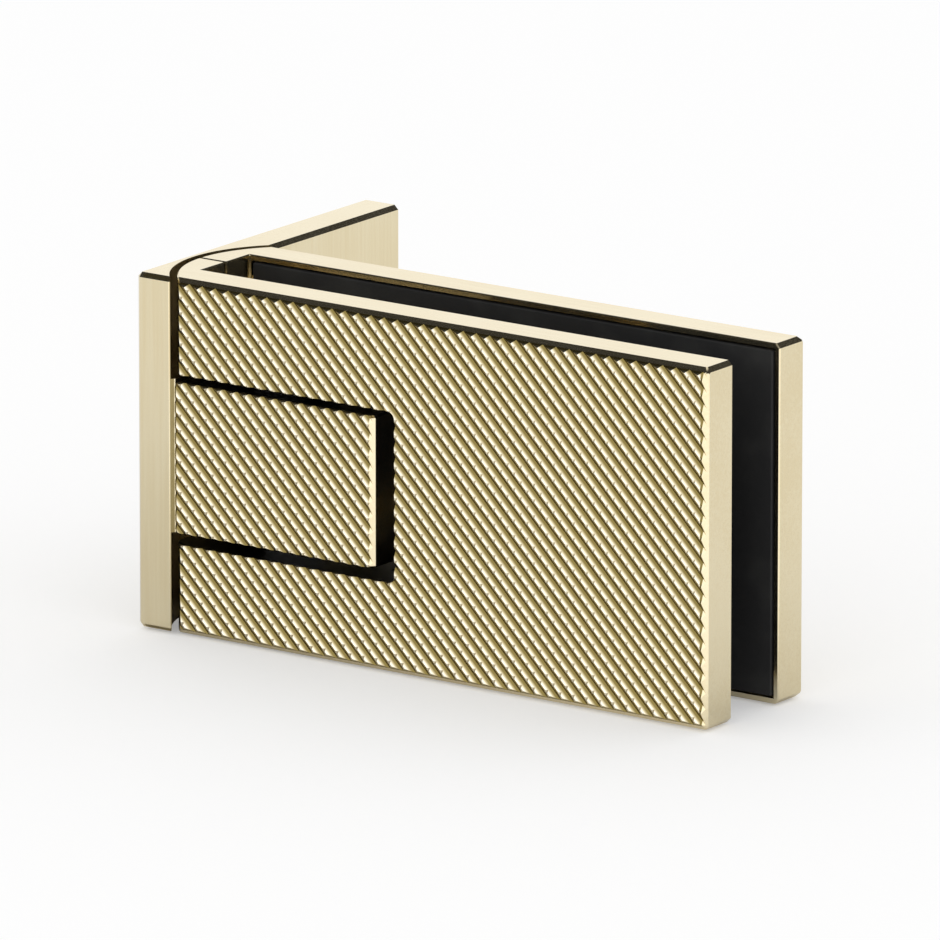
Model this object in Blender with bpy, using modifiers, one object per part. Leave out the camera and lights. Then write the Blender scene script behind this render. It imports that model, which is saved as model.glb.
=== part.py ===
"""Knurled rising hinge that hangs a frameless glass door from a wall.

The wall plate carries a knuckle.  A two-plate clamp grips the glass and swings round the knuckle on
a pin, and a pair of helical cams lifts the clamp a little as the door opens.

Frame: +X points out of the wall along the closed door, -Y is the knurled front, +Z is up.  The
origin lies on the back of the wall plate, in the plane of the pin and at mid-height.  The pieces
that belong to the pin are placed from an empty on its axis.
"""

from math import asin, cos, hypot, pi, radians, sin, sqrt

import bmesh
import bpy
from mathutils import Matrix, Vector

MM = 0.001

# Overall sizes
HEIGHT = 47.0 * MM
CLAMP_THICKNESS = 22.0 * MM
GLASS_THICKNESS = 10.0 * MM
FIT = 0.3 * MM

# Wall plate
WALL_PLATE_THICKNESS = 5.8 * MM
WALL_PLATE_DEPTH = 50.0 * MM
WALL_PLATE_EDGE_ROUND = 0.4 * MM
WALL_HOLE_RADIUS = 2.5 * MM
WALL_HOLE_HEAD_RADIUS = 4.8 * MM
WALL_HOLE_EDGE_MARGIN = 8.0 * MM
WALL_HOLE_PITCH_Y = 12.5 * MM
WALL_HOLE_END_MARGIN = 12.5 * MM

# Clearances of the swing
OPEN_CLEARANCE = 0.2 * MM
LEAF_GAP = 1.15 * MM
RECESS_CLEARANCE = 1.0 * MM
SWING_CLEARANCE = 0.5 * MM

# Lift of the door over a quarter turn, and the gap over the knuckle
RISE = 1.2 * MM
GAP_ABOVE_KNUCKLE = 1.0 * MM

# Knuckle
KNUCKLE_HEIGHT = 20.0 * MM
KNUCKLE_DROP = 0.2 * MM
KNUCKLE_REACH = 20.4 * MM
KNUCKLE_LAND_HEIGHT = 3.0 * MM
CORNER_CHAMFER = 0.7 * MM

# Knuckle screws, from the back of the wall plate
KNUCKLE_SCREW_RADIUS = 2.0 * MM
KNUCKLE_SCREW_HEAD_RADIUS = 3.5 * MM
KNUCKLE_SCREW_FLOOR = 1.6 * MM
KNUCKLE_SCREW_MARGIN_Y = 4.5 * MM
KNUCKLE_SCREW_MARGIN_Z = 4.0 * MM
KNUCKLE_SCREW_WALL = 0.5 * MM
KNUCKLE_SCREW_HEX = 3.0 * MM

# Pin
PIN_SQUARE = 5.6 * MM
PIN_CORNER_COVER = 0.04 * MM
PIN_END_CLEARANCE = 0.7 * MM
PIN_END_CHAMFER = 0.3 * MM
COLLAR_HEIGHT = 1.5 * MM
COLLAR_STEP = 1.3 * MM

# Cams, guide bush and retaining ring
CAM_WALL = 1.3 * MM
CAM_SINK = 3.0 * MM
CAM_FLAT_DEPTH = 0.6 * MM
CAM_OVERLAP = 0.5 * MM
RAMP_STEP_ANGLE = radians(2)
RAMP_STEP_CLEARANCE = radians(5)
RING_HEIGHT = 1.9 * MM
RING_SINK = 0.2 * MM
RING_SLOT_WIDTH = 1.2 * MM
RING_SLOT_DEPTH = 0.8 * MM

# Screws that lock the fixed cam, from the back of the knuckle
LOCK_SCREW_RADIUS = 1.5 * MM
LOCK_SCREW_PITCH = 5.6 * MM
LOCK_SCREW_SINK = 0.6 * MM
LOCK_SCREW_HEX = 1.5 * MM

# Clamp plates
CLAMP_REACH = 72.0 * MM
CLAMP_CORNER_RADIUS = 1.0 * MM
GLASS_SLACK = 0.2 * MM
GLASS_EDGE_SETBACK = 10.5 * MM
GLASS_GRIP_ABOVE_NOTCH = 3.5 * MM
NOTCH_LENGTH = 54.5 * MM
HUB_WALL = 5.8 * MM
HUB_ROOF = 1.0 * MM
MATING_GAP = 0.3 * MM

# Clamp screws, from the back plate into the front plate
CLAMP_SCREW_RADIUS = 2.0 * MM
CLAMP_SCREW_HEAD_RADIUS = 3.8 * MM
CLAMP_SCREW_HEAD_LAND = 0.3 * MM
CLAMP_SCREW_SINK = 0.2 * MM
CLAMP_SCREW_COVER = 3.0 * MM
CLAMP_SCREW_HEX = 2.5 * MM
LEG_SCREW_MARGIN = 5.5 * MM
BOSS_RADIUS = 6.0 * MM
BOSS_MARGIN = 5.0 * MM
BOSS_MARGIN_Z = 4.2 * MM

# Gaskets
GASKET_THICKNESS = 1.0 * MM
GASKET_RIM = 0.7 * MM

# Diamond knurl of the front faces: distance between ridges along X and along Z
KNURL_PERIOD = 2.05 * MM
KNURL_DEPTH = 0.45 * MM

# Facets and cutting
ROUND_STEPS = 24
SCREW_STEPS = 16
RECESS_STEPS = 72
ARC_STEPS = 10
CORNER_STEPS = 4
RAMP_STEPS = 14
SHARP_ANGLE = radians(35)
SOCKET_SHARE = 0.7
CUT_OVERRUN = 1.0 * MM

# Sizes that follow
HALF_HEIGHT = HEIGHT / 2
HALF_CLAMP = CLAMP_THICKNESS / 2
HALF_GLASS = GLASS_THICKNESS / 2
HALF_GAP = MATING_GAP / 2
PLATE_INNER_Y = HALF_GLASS + GLASS_SLACK
PIN_X = WALL_PLATE_THICKNESS + HALF_CLAMP + OPEN_CLEARANCE
LEG_CORNER_X = HALF_CLAMP + OPEN_CLEARANCE - LEAF_GAP
LEG_RADIUS = hypot(HALF_CLAMP, LEG_CORNER_X)
RECESS_RADIUS = LEG_RADIUS + RECESS_CLEARANCE
KNUCKLE_TOP = KNUCKLE_HEIGHT / 2 - KNUCKLE_DROP
KNUCKLE_BOTTOM = -KNUCKLE_HEIGHT / 2 - KNUCKLE_DROP
CUT_TOP = KNUCKLE_TOP + GAP_ABOVE_KNUCKLE
CUT_BOTTOM = KNUCKLE_BOTTOM - RISE - FIT
CUT_RIGHT = hypot(KNUCKLE_REACH, HALF_CLAMP) + SWING_CLEARANCE
PIN_RADIUS = PIN_SQUARE / sqrt(2) + PIN_CORNER_COVER
JOURNAL_BORE = PIN_RADIUS + FIT
CAM_RADIUS = JOURNAL_BORE + CAM_WALL
KNUCKLE_BORE = CAM_RADIUS + FIT
CAM_FLAT_Y = CAM_RADIUS - CAM_FLAT_DEPTH
GLASS_STOP_X = -GLASS_EDGE_SETBACK - FIT
NOTCH_RIGHT = NOTCH_LENGTH - GLASS_EDGE_SETBACK
NOTCH_TOP = HALF_HEIGHT - GLASS_GRIP_ABOVE_NOTCH
HUB_TOP = NOTCH_TOP - FIT
LEG_SCREW_X = KNUCKLE_BORE + HUB_WALL + CLAMP_SCREW_RADIUS + FIT
HUB_REACH = LEG_SCREW_X + LEG_SCREW_MARGIN
BOSS_X = NOTCH_RIGHT - BOSS_MARGIN - BOSS_RADIUS
BOSS_Z = HUB_TOP - BOSS_MARGIN_Z - BOSS_RADIUS
WALL_HOLE_Z = HALF_HEIGHT - WALL_HOLE_END_MARGIN
KNUCKLE_SCREW_Y = HALF_CLAMP - KNUCKLE_SCREW_MARGIN_Y
KNUCKLE_SCREW_Z = KNUCKLE_HEIGHT / 2 - KNUCKLE_SCREW_MARGIN_Z
POCKET_END = HUB_TOP - HUB_ROOF
RING_BOTTOM = KNUCKLE_BOTTOM + RING_SINK
RING_TOP = RING_BOTTOM + RING_HEIGHT
COLLAR_BOTTOM = RING_TOP + FIT
COLLAR_TOP = COLLAR_BOTTOM + COLLAR_HEIGHT
COLLAR_SHOULDER = COLLAR_TOP + FIT
CAM_SEAT = COLLAR_SHOULDER + KNUCKLE_LAND_HEIGHT
CAM_LIFT = 2 * RISE
RAMP_HIGH = KNUCKLE_TOP - CAM_SINK
RAMP_LOW = RAMP_HIGH - CAM_LIFT

CHAMPAGNE_BRASS = (0.66, 0.56, 0.37)
STAINLESS_STEEL = (0.62, 0.62, 0.61)
HARDENED_STEEL = (0.24, 0.25, 0.26)
BLACK_RUBBER = (0.015, 0.015, 0.016)


class Workshop:
    """The collections, the pin's axis and the materials that the pieces share."""

    def __init__(self):
        for item in list(bpy.data.objects):
            bpy.data.objects.remove(item, do_unlink=True)
        self.pieces = self.new_collection("rising_hinge")
        self.cutters = self.new_collection("hinge_cutters")
        self.pin_axis = bpy.data.objects.new("pin_axis", None)
        self.pin_axis.location = (PIN_X, 0, 0)
        self.pieces.objects.link(self.pin_axis)
        self.brass = self.new_material("champagne_brass", CHAMPAGNE_BRASS, 0.3, 1.0)
        self.stainless = self.new_material("stainless_steel", STAINLESS_STEEL, 0.25, 1.0)
        self.hardened = self.new_material("hardened_steel", HARDENED_STEEL, 0.35, 1.0)
        self.rubber = self.new_material("black_rubber", BLACK_RUBBER, 0.7, 0.0)

    @staticmethod
    def new_collection(name):
        """Add a collection to the scene."""
        collection = bpy.data.collections.new(name)
        bpy.context.scene.collection.children.link(collection)
        return collection

    @staticmethod
    def new_material(name, colour, roughness, metallic):
        """A Principled material of one colour."""
        material = bpy.data.materials.new(name)
        material.use_nodes = True
        shader = material.node_tree.nodes["Principled BSDF"]
        shader.inputs["Base Color"].default_value = (*colour, 1.0)
        shader.inputs["Roughness"].default_value = roughness
        shader.inputs["Metallic"].default_value = metallic
        return material

    def add_piece(self, item, material, on_pin=True):
        """Put a piece in the model, placed from the pin's axis or from the origin."""
        self.pieces.objects.link(item)
        item.parent = self.pin_axis if on_pin else None
        if material.name not in item.data.materials:
            item.data.materials.append(material)
        return item

    def add_cutter(self, item, on_pin=True):
        """Put a cutter or another construction shape beside the model."""
        self.cutters.objects.link(item)
        item.parent = self.pin_axis if on_pin else None
        item.hide_render = True
        item.display_type = "WIRE"
        return item


def mesh_object(name, shape):
    """An object from a bmesh, which is freed."""
    mesh = bpy.data.meshes.new(name)
    shape.to_mesh(mesh)
    shape.free()
    return bpy.data.objects.new(name, mesh)


def box_solid(name, low, high):
    """A box between two corners."""
    shape = bmesh.new()
    bmesh.ops.create_cube(shape, size=1.0)
    size = Vector(high) - Vector(low)
    middle = (Vector(high) + Vector(low)) / 2
    bmesh.ops.scale(shape, vec=size, verts=shape.verts)
    bmesh.ops.translate(shape, vec=middle, verts=shape.verts)
    return mesh_object(name, shape)


def evaluated_mesh(item):
    """The mesh of an object with its modifiers applied."""
    bpy.context.view_layer.update()
    evaluated = item.evaluated_get(bpy.context.evaluated_depsgraph_get())
    return bpy.data.meshes.new_from_object(evaluated)


def outline_solid(name, outline, low, high, upright=False):
    """A flat outline given thickness from low to high.

    The outline lies in XY and rises along Z, or it lies in XZ and runs along Y when upright.
    """
    curve = bpy.data.curves.new(name, "CURVE")
    curve.dimensions = "2D"
    curve.fill_mode = "BOTH"
    curve.extrude = (high - low) / 2
    spline = curve.splines.new("POLY")
    spline.points.add(len(outline) - 1)
    for point, (across, along) in zip(spline.points, outline):
        point.co = (across, along, 0, 1)
    spline.use_cyclic_u = True
    flat = bpy.data.objects.new(name + "_outline", curve)
    bpy.context.scene.collection.objects.link(flat)
    middle = (low + high) / 2
    placing = Matrix.Translation((0, 0, middle))
    if upright:
        placing = Matrix.Translation((0, middle, 0)) @ Matrix.Rotation(pi / 2, 4, "X")
    flat.matrix_world = placing
    mesh = evaluated_mesh(flat)
    bpy.data.objects.remove(flat, do_unlink=True)
    mesh.materials.clear()
    shape = bmesh.new()
    shape.from_mesh(mesh)
    shape.transform(placing)
    bmesh.ops.remove_doubles(shape, verts=shape.verts, dist=1e-6)
    bmesh.ops.recalc_face_normals(shape, faces=shape.faces)
    return mesh_object(name, shape)


def turned_solid(name, profile, steps=ROUND_STEPS):
    """A profile of (radius, height) points, outer side from top to bottom, turned round Z."""
    mesh = bpy.data.meshes.new(name)
    points = [(radius, 0, height) for radius, height in profile]
    edges = [(i, i + 1) for i in range(len(points) - 1)]
    if profile[0][0] > 0:
        edges.append((len(points) - 1, 0))
    mesh.from_pydata(points, edges, [])
    item = bpy.data.objects.new(name, mesh)
    turn = item.modifiers.new("turn", "SCREW")
    turn.steps = steps
    turn.render_steps = steps
    turn.use_merge_vertices = True
    turn.merge_threshold = 1e-6
    return item


def combine(item, other, operation="DIFFERENCE"):
    """Put a Boolean modifier on an object."""
    modifier = item.modifiers.new(operation.lower() + "_" + other.name, "BOOLEAN")
    modifier.operation = operation
    modifier.object = other
    modifier.solver = "EXACT"


def round_edges(item, width, segments=2):
    """Round every edge of a box."""
    bevel = item.modifiers.new("round_edges", "BEVEL")
    bevel.width = width
    bevel.segments = segments


def finish(item):
    """Apply an object's modifiers, and shade its round faces smooth between sharp edges."""
    mesh = evaluated_mesh(item)
    mesh.name = item.name
    item.modifiers.clear()
    item.data = mesh
    mesh.shade_smooth()
    mesh.set_sharp_from_angle(angle=SHARP_ANGLE)
    return item


def arc(centre, radius, start, end, steps=CORNER_STEPS):
    """Points on an arc, with both ends."""
    turn = (end - start) / steps
    return [(centre[0] + radius * cos(start + turn * i), centre[1] + radius * sin(start + turn * i))
            for i in range(steps + 1)]


def stand_on(item, location, direction):
    """Turn an object's Z axis to a direction and move it."""
    item.location = location
    item.rotation_euler = Vector(direction).to_track_quat("Z", "Y").to_euler()
    return item


def knurled_block(shop, name, left, right, bottom, top):
    """A block whose front is a field of diamond pyramids, which cuts a face down to a knurl."""
    side = KNURL_PERIOD / sqrt(2)
    cells = int((right - left + top - bottom) / sqrt(8) / side) + 2
    middle = Vector(((left + right) / 2, KNURL_DEPTH - HALF_CLAMP, (bottom + top) / 2))
    turn = Matrix.Rotation(pi / 2, 4, "X") @ Matrix.Rotation(pi / 4, 4, "Z")
    shape = bmesh.new()
    bmesh.ops.create_grid(shape, x_segments=2 * cells, y_segments=2 * cells, size=cells * side)
    bmesh.ops.transform(shape, matrix=Matrix.Translation(middle) @ turn, verts=shape.verts)
    shape.normal_update()
    beyond = []
    for face in shape.faces:
        centre = face.calc_center_median()
        inside_x = left - KNURL_PERIOD < centre.x < right + KNURL_PERIOD
        inside_z = bottom - KNURL_PERIOD < centre.z < top + KNURL_PERIOD
        if not (inside_x and inside_z):
            beyond.append(face)
    bmesh.ops.delete(shape, geom=beyond, context="FACES")
    rim = [edge for edge in shape.edges if edge.is_boundary]
    bmesh.ops.poke(shape, faces=shape.faces[:], offset=KNURL_DEPTH)
    wall = bmesh.ops.extrude_edge_only(shape, edges=rim)["geom"]
    back_points = [part for part in wall if isinstance(part, bmesh.types.BMVert)]
    back_edges = [part for part in wall if isinstance(part, bmesh.types.BMEdge) and part.is_boundary]
    bmesh.ops.translate(shape, vec=(0, CLAMP_THICKNESS + CUT_OVERRUN, 0), verts=back_points)
    bmesh.ops.holes_fill(shape, edges=back_edges, sides=0)
    bmesh.ops.recalc_face_normals(shape, faces=shape.faces)
    return shop.add_cutter(mesh_object(name, shape))


def helical_ring(name, flat_end, ramp_low, first_angle):
    """A ring with one flat end, and two half-turn ramps that rise clockwise on the other.

    It is a loft between radial sections, whose height follows the ramp.
    """
    sweep = pi - RAMP_STEP_ANGLE
    shape = bmesh.new()
    sections = []
    for half in range(2):
        for i in range(RAMP_STEPS + 1):
            share = i / RAMP_STEPS
            angle = -(first_angle + half * pi + share * sweep)
            ramp = ramp_low + CAM_LIFT * share
            corners = ((JOURNAL_BORE, flat_end), (JOURNAL_BORE, ramp),
                       (CAM_RADIUS, ramp), (CAM_RADIUS, flat_end))
            sections.append([shape.verts.new((radius * cos(angle), radius * sin(angle), height))
                             for radius, height in corners])
    for here, there in zip(sections, sections[1:] + sections[:1]):
        for i in range(4):
            j = (i + 1) % 4
            shape.faces.new((here[i], here[j], there[j], there[i]))
    bmesh.ops.recalc_face_normals(shape, faces=shape.faces)
    return mesh_object(name, shape)


def socket_screw_mesh(shop, name, profile, hex_size):
    """A turned screw with a hexagonal socket in its head, as a mesh that its copies share."""
    depth = hex_size * SOCKET_SHARE
    radius = hex_size / sqrt(3)
    shape = bmesh.new()
    bmesh.ops.create_cone(shape, cap_ends=True, segments=6, radius1=radius, radius2=radius, depth=2 * depth)
    socket = shop.add_cutter(mesh_object(name + "_socket", shape), on_pin=False)
    blank = shop.add_cutter(turned_solid(name, profile, SCREW_STEPS), on_pin=False)
    combine(blank, socket)
    mesh = finish(blank).data
    bpy.data.objects.remove(blank, do_unlink=True)
    bpy.data.objects.remove(socket, do_unlink=True)
    return mesh


def make_wall_plate(shop):
    """The plate that is screwed to the wall, hollowed where the legs of the clamp turn."""
    rear = WALL_PLATE_DEPTH - HALF_CLAMP
    plate = box_solid("wall_plate", (0, -HALF_CLAMP, -HALF_HEIGHT),
                      (WALL_PLATE_THICKNESS, rear, HALF_HEIGHT))
    shop.add_piece(plate, shop.brass, on_pin=False)
    round_edges(plate, WALL_PLATE_EDGE_ROUND)
    end = HALF_HEIGHT + CUT_OVERRUN
    for name, low, high in (("upper", KNUCKLE_TOP + FIT, end), ("lower", -end, KNUCKLE_BOTTOM)):
        profile = [(0, high), (RECESS_RADIUS, high), (RECESS_RADIUS, low), (0, low)]
        combine(plate, shop.add_cutter(turned_solid("leg_recess_" + name, profile, RECESS_STEPS)))
    cone = WALL_HOLE_HEAD_RADIUS - WALL_HOLE_RADIUS
    through = WALL_PLATE_THICKNESS + CUT_OVERRUN
    profile = [(0, CUT_OVERRUN), (WALL_HOLE_HEAD_RADIUS, CUT_OVERRUN), (WALL_HOLE_HEAD_RADIUS, 0),
               (WALL_HOLE_RADIUS, -cone), (WALL_HOLE_RADIUS, -through), (0, -through)]
    outer_row = rear - WALL_HOLE_EDGE_MARGIN
    corners = [(across, side) for across in (outer_row, outer_row - WALL_HOLE_PITCH_Y) for side in (-1, 1)]
    for number, (across, side) in enumerate(corners, 1):
        hole = turned_solid(f"wall_hole_{number}", profile, SCREW_STEPS)
        shop.add_cutter(hole, on_pin=False)
        stand_on(hole, (WALL_PLATE_THICKNESS, across, side * WALL_HOLE_Z), (1, 0, 0))
        combine(plate, hole)
    return plate


def make_knuckle(shop):
    """The tongue between the legs of the clamp, bored for the pin and the cams."""
    left = WALL_PLATE_THICKNESS + FIT - PIN_X
    outline = [(left, -HALF_CLAMP), (KNUCKLE_REACH - CORNER_CHAMFER, -HALF_CLAMP),
               (KNUCKLE_REACH, CORNER_CHAMFER - HALF_CLAMP), (KNUCKLE_REACH, HALF_CLAMP - CORNER_CHAMFER),
               (KNUCKLE_REACH - CORNER_CHAMFER, HALF_CLAMP), (left, HALF_CLAMP)]
    block = outline_solid("knuckle", outline, KNUCKLE_BOTTOM, KNUCKLE_TOP)
    shop.add_piece(block, shop.brass)
    over, under = KNUCKLE_TOP + CUT_OVERRUN, KNUCKLE_BOTTOM - CUT_OVERRUN
    profile = [(0, over), (KNUCKLE_BORE, over), (KNUCKLE_BORE, CAM_SEAT), (JOURNAL_BORE, CAM_SEAT),
               (JOURNAL_BORE, COLLAR_SHOULDER), (KNUCKLE_BORE, COLLAR_SHOULDER), (KNUCKLE_BORE, under),
               (0, under)]
    combine(block, shop.add_cutter(turned_solid("knuckle_bore", profile)))
    return block


def make_knuckle_screws(shop, plate, block):
    """Four cap screws that hold the knuckle from the back of the wall plate."""
    head_height = WALL_PLATE_THICKNESS - KNUCKLE_SCREW_FLOOR - 2 * FIT
    length = PIN_X - KNUCKLE_BORE - KNUCKLE_SCREW_WALL - 2 * FIT
    profile = [(0, 0), (KNUCKLE_SCREW_HEAD_RADIUS, 0), (KNUCKLE_SCREW_HEAD_RADIUS, -head_height),
               (KNUCKLE_SCREW_RADIUS, -head_height), (KNUCKLE_SCREW_RADIUS, -length), (0, -length)]
    wide, narrow = KNUCKLE_SCREW_HEAD_RADIUS + FIT, KNUCKLE_SCREW_RADIUS + FIT
    hole_profile = [(0, CUT_OVERRUN), (wide, CUT_OVERRUN), (wide, -head_height - FIT),
                    (narrow, -head_height - FIT), (narrow, -length - FIT), (0, -length - FIT)]
    mesh = socket_screw_mesh(shop, "knuckle_screw", profile, KNUCKLE_SCREW_HEX)
    corners = [(side, up) for up in (-1, 1) for side in (-1, 1)]
    for number, (side, up) in enumerate(corners, 1):
        place = (FIT, side * KNUCKLE_SCREW_Y, up * KNUCKLE_SCREW_Z - KNUCKLE_DROP)
        screw = bpy.data.objects.new(f"knuckle_screw_{number}", mesh)
        stand_on(shop.add_piece(screw, shop.stainless, on_pin=False), place, (-1, 0, 0))
        hole = turned_solid(f"knuckle_screw_hole_{number}", hole_profile, SCREW_STEPS)
        stand_on(shop.add_cutter(hole, on_pin=False), place, (-1, 0, 0))
        combine(plate, hole)
        combine(block, hole)


def make_lock_screws(shop, block):
    """Two headless screws that lock the fixed cam, so that the closed position can be set."""
    length = HALF_CLAMP - LOCK_SCREW_SINK - KNUCKLE_BORE
    profile = [(0, 0), (LOCK_SCREW_RADIUS, 0), (LOCK_SCREW_RADIUS, -length), (0, -length)]
    hole_radius, mouth = LOCK_SCREW_RADIUS + FIT, HALF_CLAMP + CUT_OVERRUN
    hole_profile = [(0, mouth), (hole_radius, mouth), (hole_radius, 0), (0, 0)]
    mesh = socket_screw_mesh(shop, "cam_lock_screw", profile, LOCK_SCREW_HEX)
    level = (CAM_SEAT + FIT + RAMP_LOW) / 2
    for number, side in enumerate((-1, 1), 1):
        across = side * LOCK_SCREW_PITCH / 2
        screw = bpy.data.objects.new(f"cam_lock_screw_{number}", mesh)
        shop.add_piece(screw, shop.stainless)
        stand_on(screw, (across, HALF_CLAMP - LOCK_SCREW_SINK, level), (0, 1, 0))
        hole = shop.add_cutter(turned_solid(f"cam_lock_hole_{number}", hole_profile, SCREW_STEPS))
        stand_on(hole, (across, 0, level), (0, 1, 0))
        combine(block, hole)


def make_fixed_cam(shop):
    """The cam that stays in the knuckle and carries the door."""
    cam = helical_ring("fixed_cam", CAM_SEAT + FIT, RAMP_LOW, 0)
    return finish(shop.add_piece(cam, shop.hardened))


def make_retaining_ring(shop):
    """The screwed ring that holds the pin's collar up in the knuckle."""
    profile = [(CAM_RADIUS, RING_TOP), (CAM_RADIUS, RING_BOTTOM), (JOURNAL_BORE, RING_BOTTOM),
               (JOURNAL_BORE, RING_TOP)]
    ring = shop.add_piece(turned_solid("retaining_ring", profile), shop.stainless)
    half_width = RING_SLOT_WIDTH / 2
    reach = CAM_RADIUS + CUT_OVERRUN
    slot = box_solid("retaining_ring_slot", (-reach, -half_width, RING_BOTTOM - CUT_OVERRUN),
                     (reach, half_width, RING_BOTTOM + RING_SLOT_DEPTH))
    combine(ring, shop.add_cutter(slot))
    return finish(ring)


def make_pivot_pin(shop):
    """The pin: a round journal with a collar in the knuckle, and a square at each end for the clamp."""
    top, bottom = KNUCKLE_TOP - FIT, KNUCKLE_BOTTOM
    collar = PIN_RADIUS + COLLAR_STEP
    profile = [(0, top), (PIN_RADIUS, top), (PIN_RADIUS, COLLAR_TOP), (collar, COLLAR_TOP),
               (collar, COLLAR_BOTTOM), (PIN_RADIUS, COLLAR_BOTTOM), (PIN_RADIUS, bottom), (0, bottom)]
    pin = shop.add_piece(turned_solid("pivot_pin", profile), shop.stainless)
    half = PIN_SQUARE / 2
    bar = box_solid("pin_square", (-half, -half, RISE + PIN_END_CLEARANCE - POCKET_END),
                    (half, half, POCKET_END - PIN_END_CLEARANCE))
    round_edges(bar, PIN_END_CHAMFER, segments=1)
    combine(pin, shop.add_cutter(bar), "UNION")
    return finish(pin)


def square_hole(shop, name, low, high):
    """A cutter for the pin's square, with its clearance."""
    half = PIN_SQUARE / 2 + FIT
    return shop.add_cutter(box_solid(name, (-half, -half, low), (half, half, high)))


def keyed_round(name, low, high, clearance):
    """A round bar with two flats, which keep a cam or a bush from turning in its pocket."""
    radius = CAM_RADIUS + clearance
    flat = CAM_FLAT_Y + clearance
    corner = asin(flat / radius)
    outline = arc((0, 0), radius, -corner, corner, ARC_STEPS)
    outline += arc((0, 0), radius, pi - corner, pi + corner, ARC_STEPS)
    return outline_solid(name, outline, low, high)


def make_moving_cam(shop):
    """The cam that turns with the clamp and climbs the fixed one, with a square for the pin."""
    gap = FIT + CAM_LIFT * RAMP_STEP_CLEARANCE / (pi - RAMP_STEP_ANGLE)
    ring = helical_ring("moving_cam_ring", KNUCKLE_TOP + CAM_OVERLAP, RAMP_LOW + gap, RAMP_STEP_CLEARANCE)
    cam = keyed_round("moving_cam", KNUCKLE_TOP, POCKET_END - FIT, 0)
    shop.add_piece(cam, shop.hardened)
    combine(cam, square_hole(shop, "moving_cam_square", KNUCKLE_TOP - CUT_OVERRUN, POCKET_END))
    combine(cam, shop.add_cutter(ring), "UNION")
    return finish(cam)


def make_guide_bush(shop):
    """The bush in the lower leg that slides up the pin's square."""
    bush = keyed_round("lower_guide_bush", FIT - POCKET_END, CUT_BOTTOM - FIT, 0)
    shop.add_piece(bush, shop.hardened)
    combine(bush, square_hole(shop, "guide_bush_square", -POCKET_END, CUT_BOTTOM))
    return finish(bush)


def clamp_section(side):
    """The plan of a clamp plate: its leg's round end wraps the edge of the glass."""
    start, end = asin(HALF_GAP / LEG_RADIUS), asin(HALF_CLAMP / LEG_RADIUS)
    leg = [(-LEG_RADIUS * cos(start + (end - start) * i / ARC_STEPS),
            LEG_RADIUS * sin(start + (end - start) * i / ARC_STEPS)) for i in range(ARC_STEPS + 1)]
    plate = [(CLAMP_REACH - CORNER_CHAMFER, HALF_CLAMP), (CLAMP_REACH, HALF_CLAMP - CORNER_CHAMFER),
             (CLAMP_REACH, PLATE_INNER_Y), (GLASS_STOP_X, PLATE_INNER_Y), (GLASS_STOP_X, HALF_GAP)]
    return [(x, side * y) for x, y in leg + plate]


def clamp_elevation():
    """The clamp seen from the front: a C round the knuckle, with rounded corners."""
    left = -LEG_RADIUS - CUT_OVERRUN
    radius = CLAMP_CORNER_RADIUS
    right_x, cut_x = CLAMP_REACH - radius, CUT_RIGHT - radius
    top_z = HALF_HEIGHT - radius
    outline = [(left, HALF_HEIGHT)]
    outline += arc((right_x, top_z), radius, pi / 2, 0)
    outline += arc((right_x, -top_z), radius, 0, -pi / 2)
    outline += [(left, -HALF_HEIGHT), (left, CUT_BOTTOM)]
    outline += arc((cut_x, CUT_BOTTOM + radius), radius, -pi / 2, 0)
    outline += arc((cut_x, CUT_TOP - radius), radius, 0, pi / 2)
    outline += [(left, CUT_TOP)]
    return outline


def gasket_outline(margin):
    """The gasket's C round the notch in the glass, or its pocket with a margin."""
    left = FIT - GLASS_EDGE_SETBACK - margin
    right = CLAMP_REACH - GASKET_RIM - FIT + margin
    outer = HALF_HEIGHT - GASKET_RIM - FIT + margin
    inner = NOTCH_TOP + FIT - margin
    notch = NOTCH_RIGHT + FIT - margin
    return [(left, outer), (right, outer), (right, -outer), (left, -outer),
            (left, -inner), (notch, -inner), (notch, inner), (left, inner)]


def clamp_screw_places():
    """Where the clamp screws stand, in X and Z from the pin."""
    upper, lower = (CUT_TOP + HUB_TOP) / 2, (CUT_BOTTOM - HUB_TOP) / 2
    return [(LEG_SCREW_X, upper), (LEG_SCREW_X, lower), (BOSS_X, BOSS_Z), (BOSS_X, -BOSS_Z)]


def make_clamp_tools(shop):
    """The shapes that form both clamp plates: elevation, pin pockets and screw holes."""
    reach = HALF_CLAMP + CUT_OVERRUN
    elevation = outline_solid("clamp_elevation", clamp_elevation(), -reach, reach, upright=True)
    pockets = [keyed_round("upper_pin_pocket", CUT_TOP - CUT_OVERRUN, POCKET_END, FIT),
               keyed_round("lower_pin_pocket", -POCKET_END, CUT_BOTTOM + CUT_OVERRUN, FIT)]
    for pocket in pockets:
        shop.add_cutter(pocket)
    return shop.add_cutter(elevation), pockets


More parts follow.
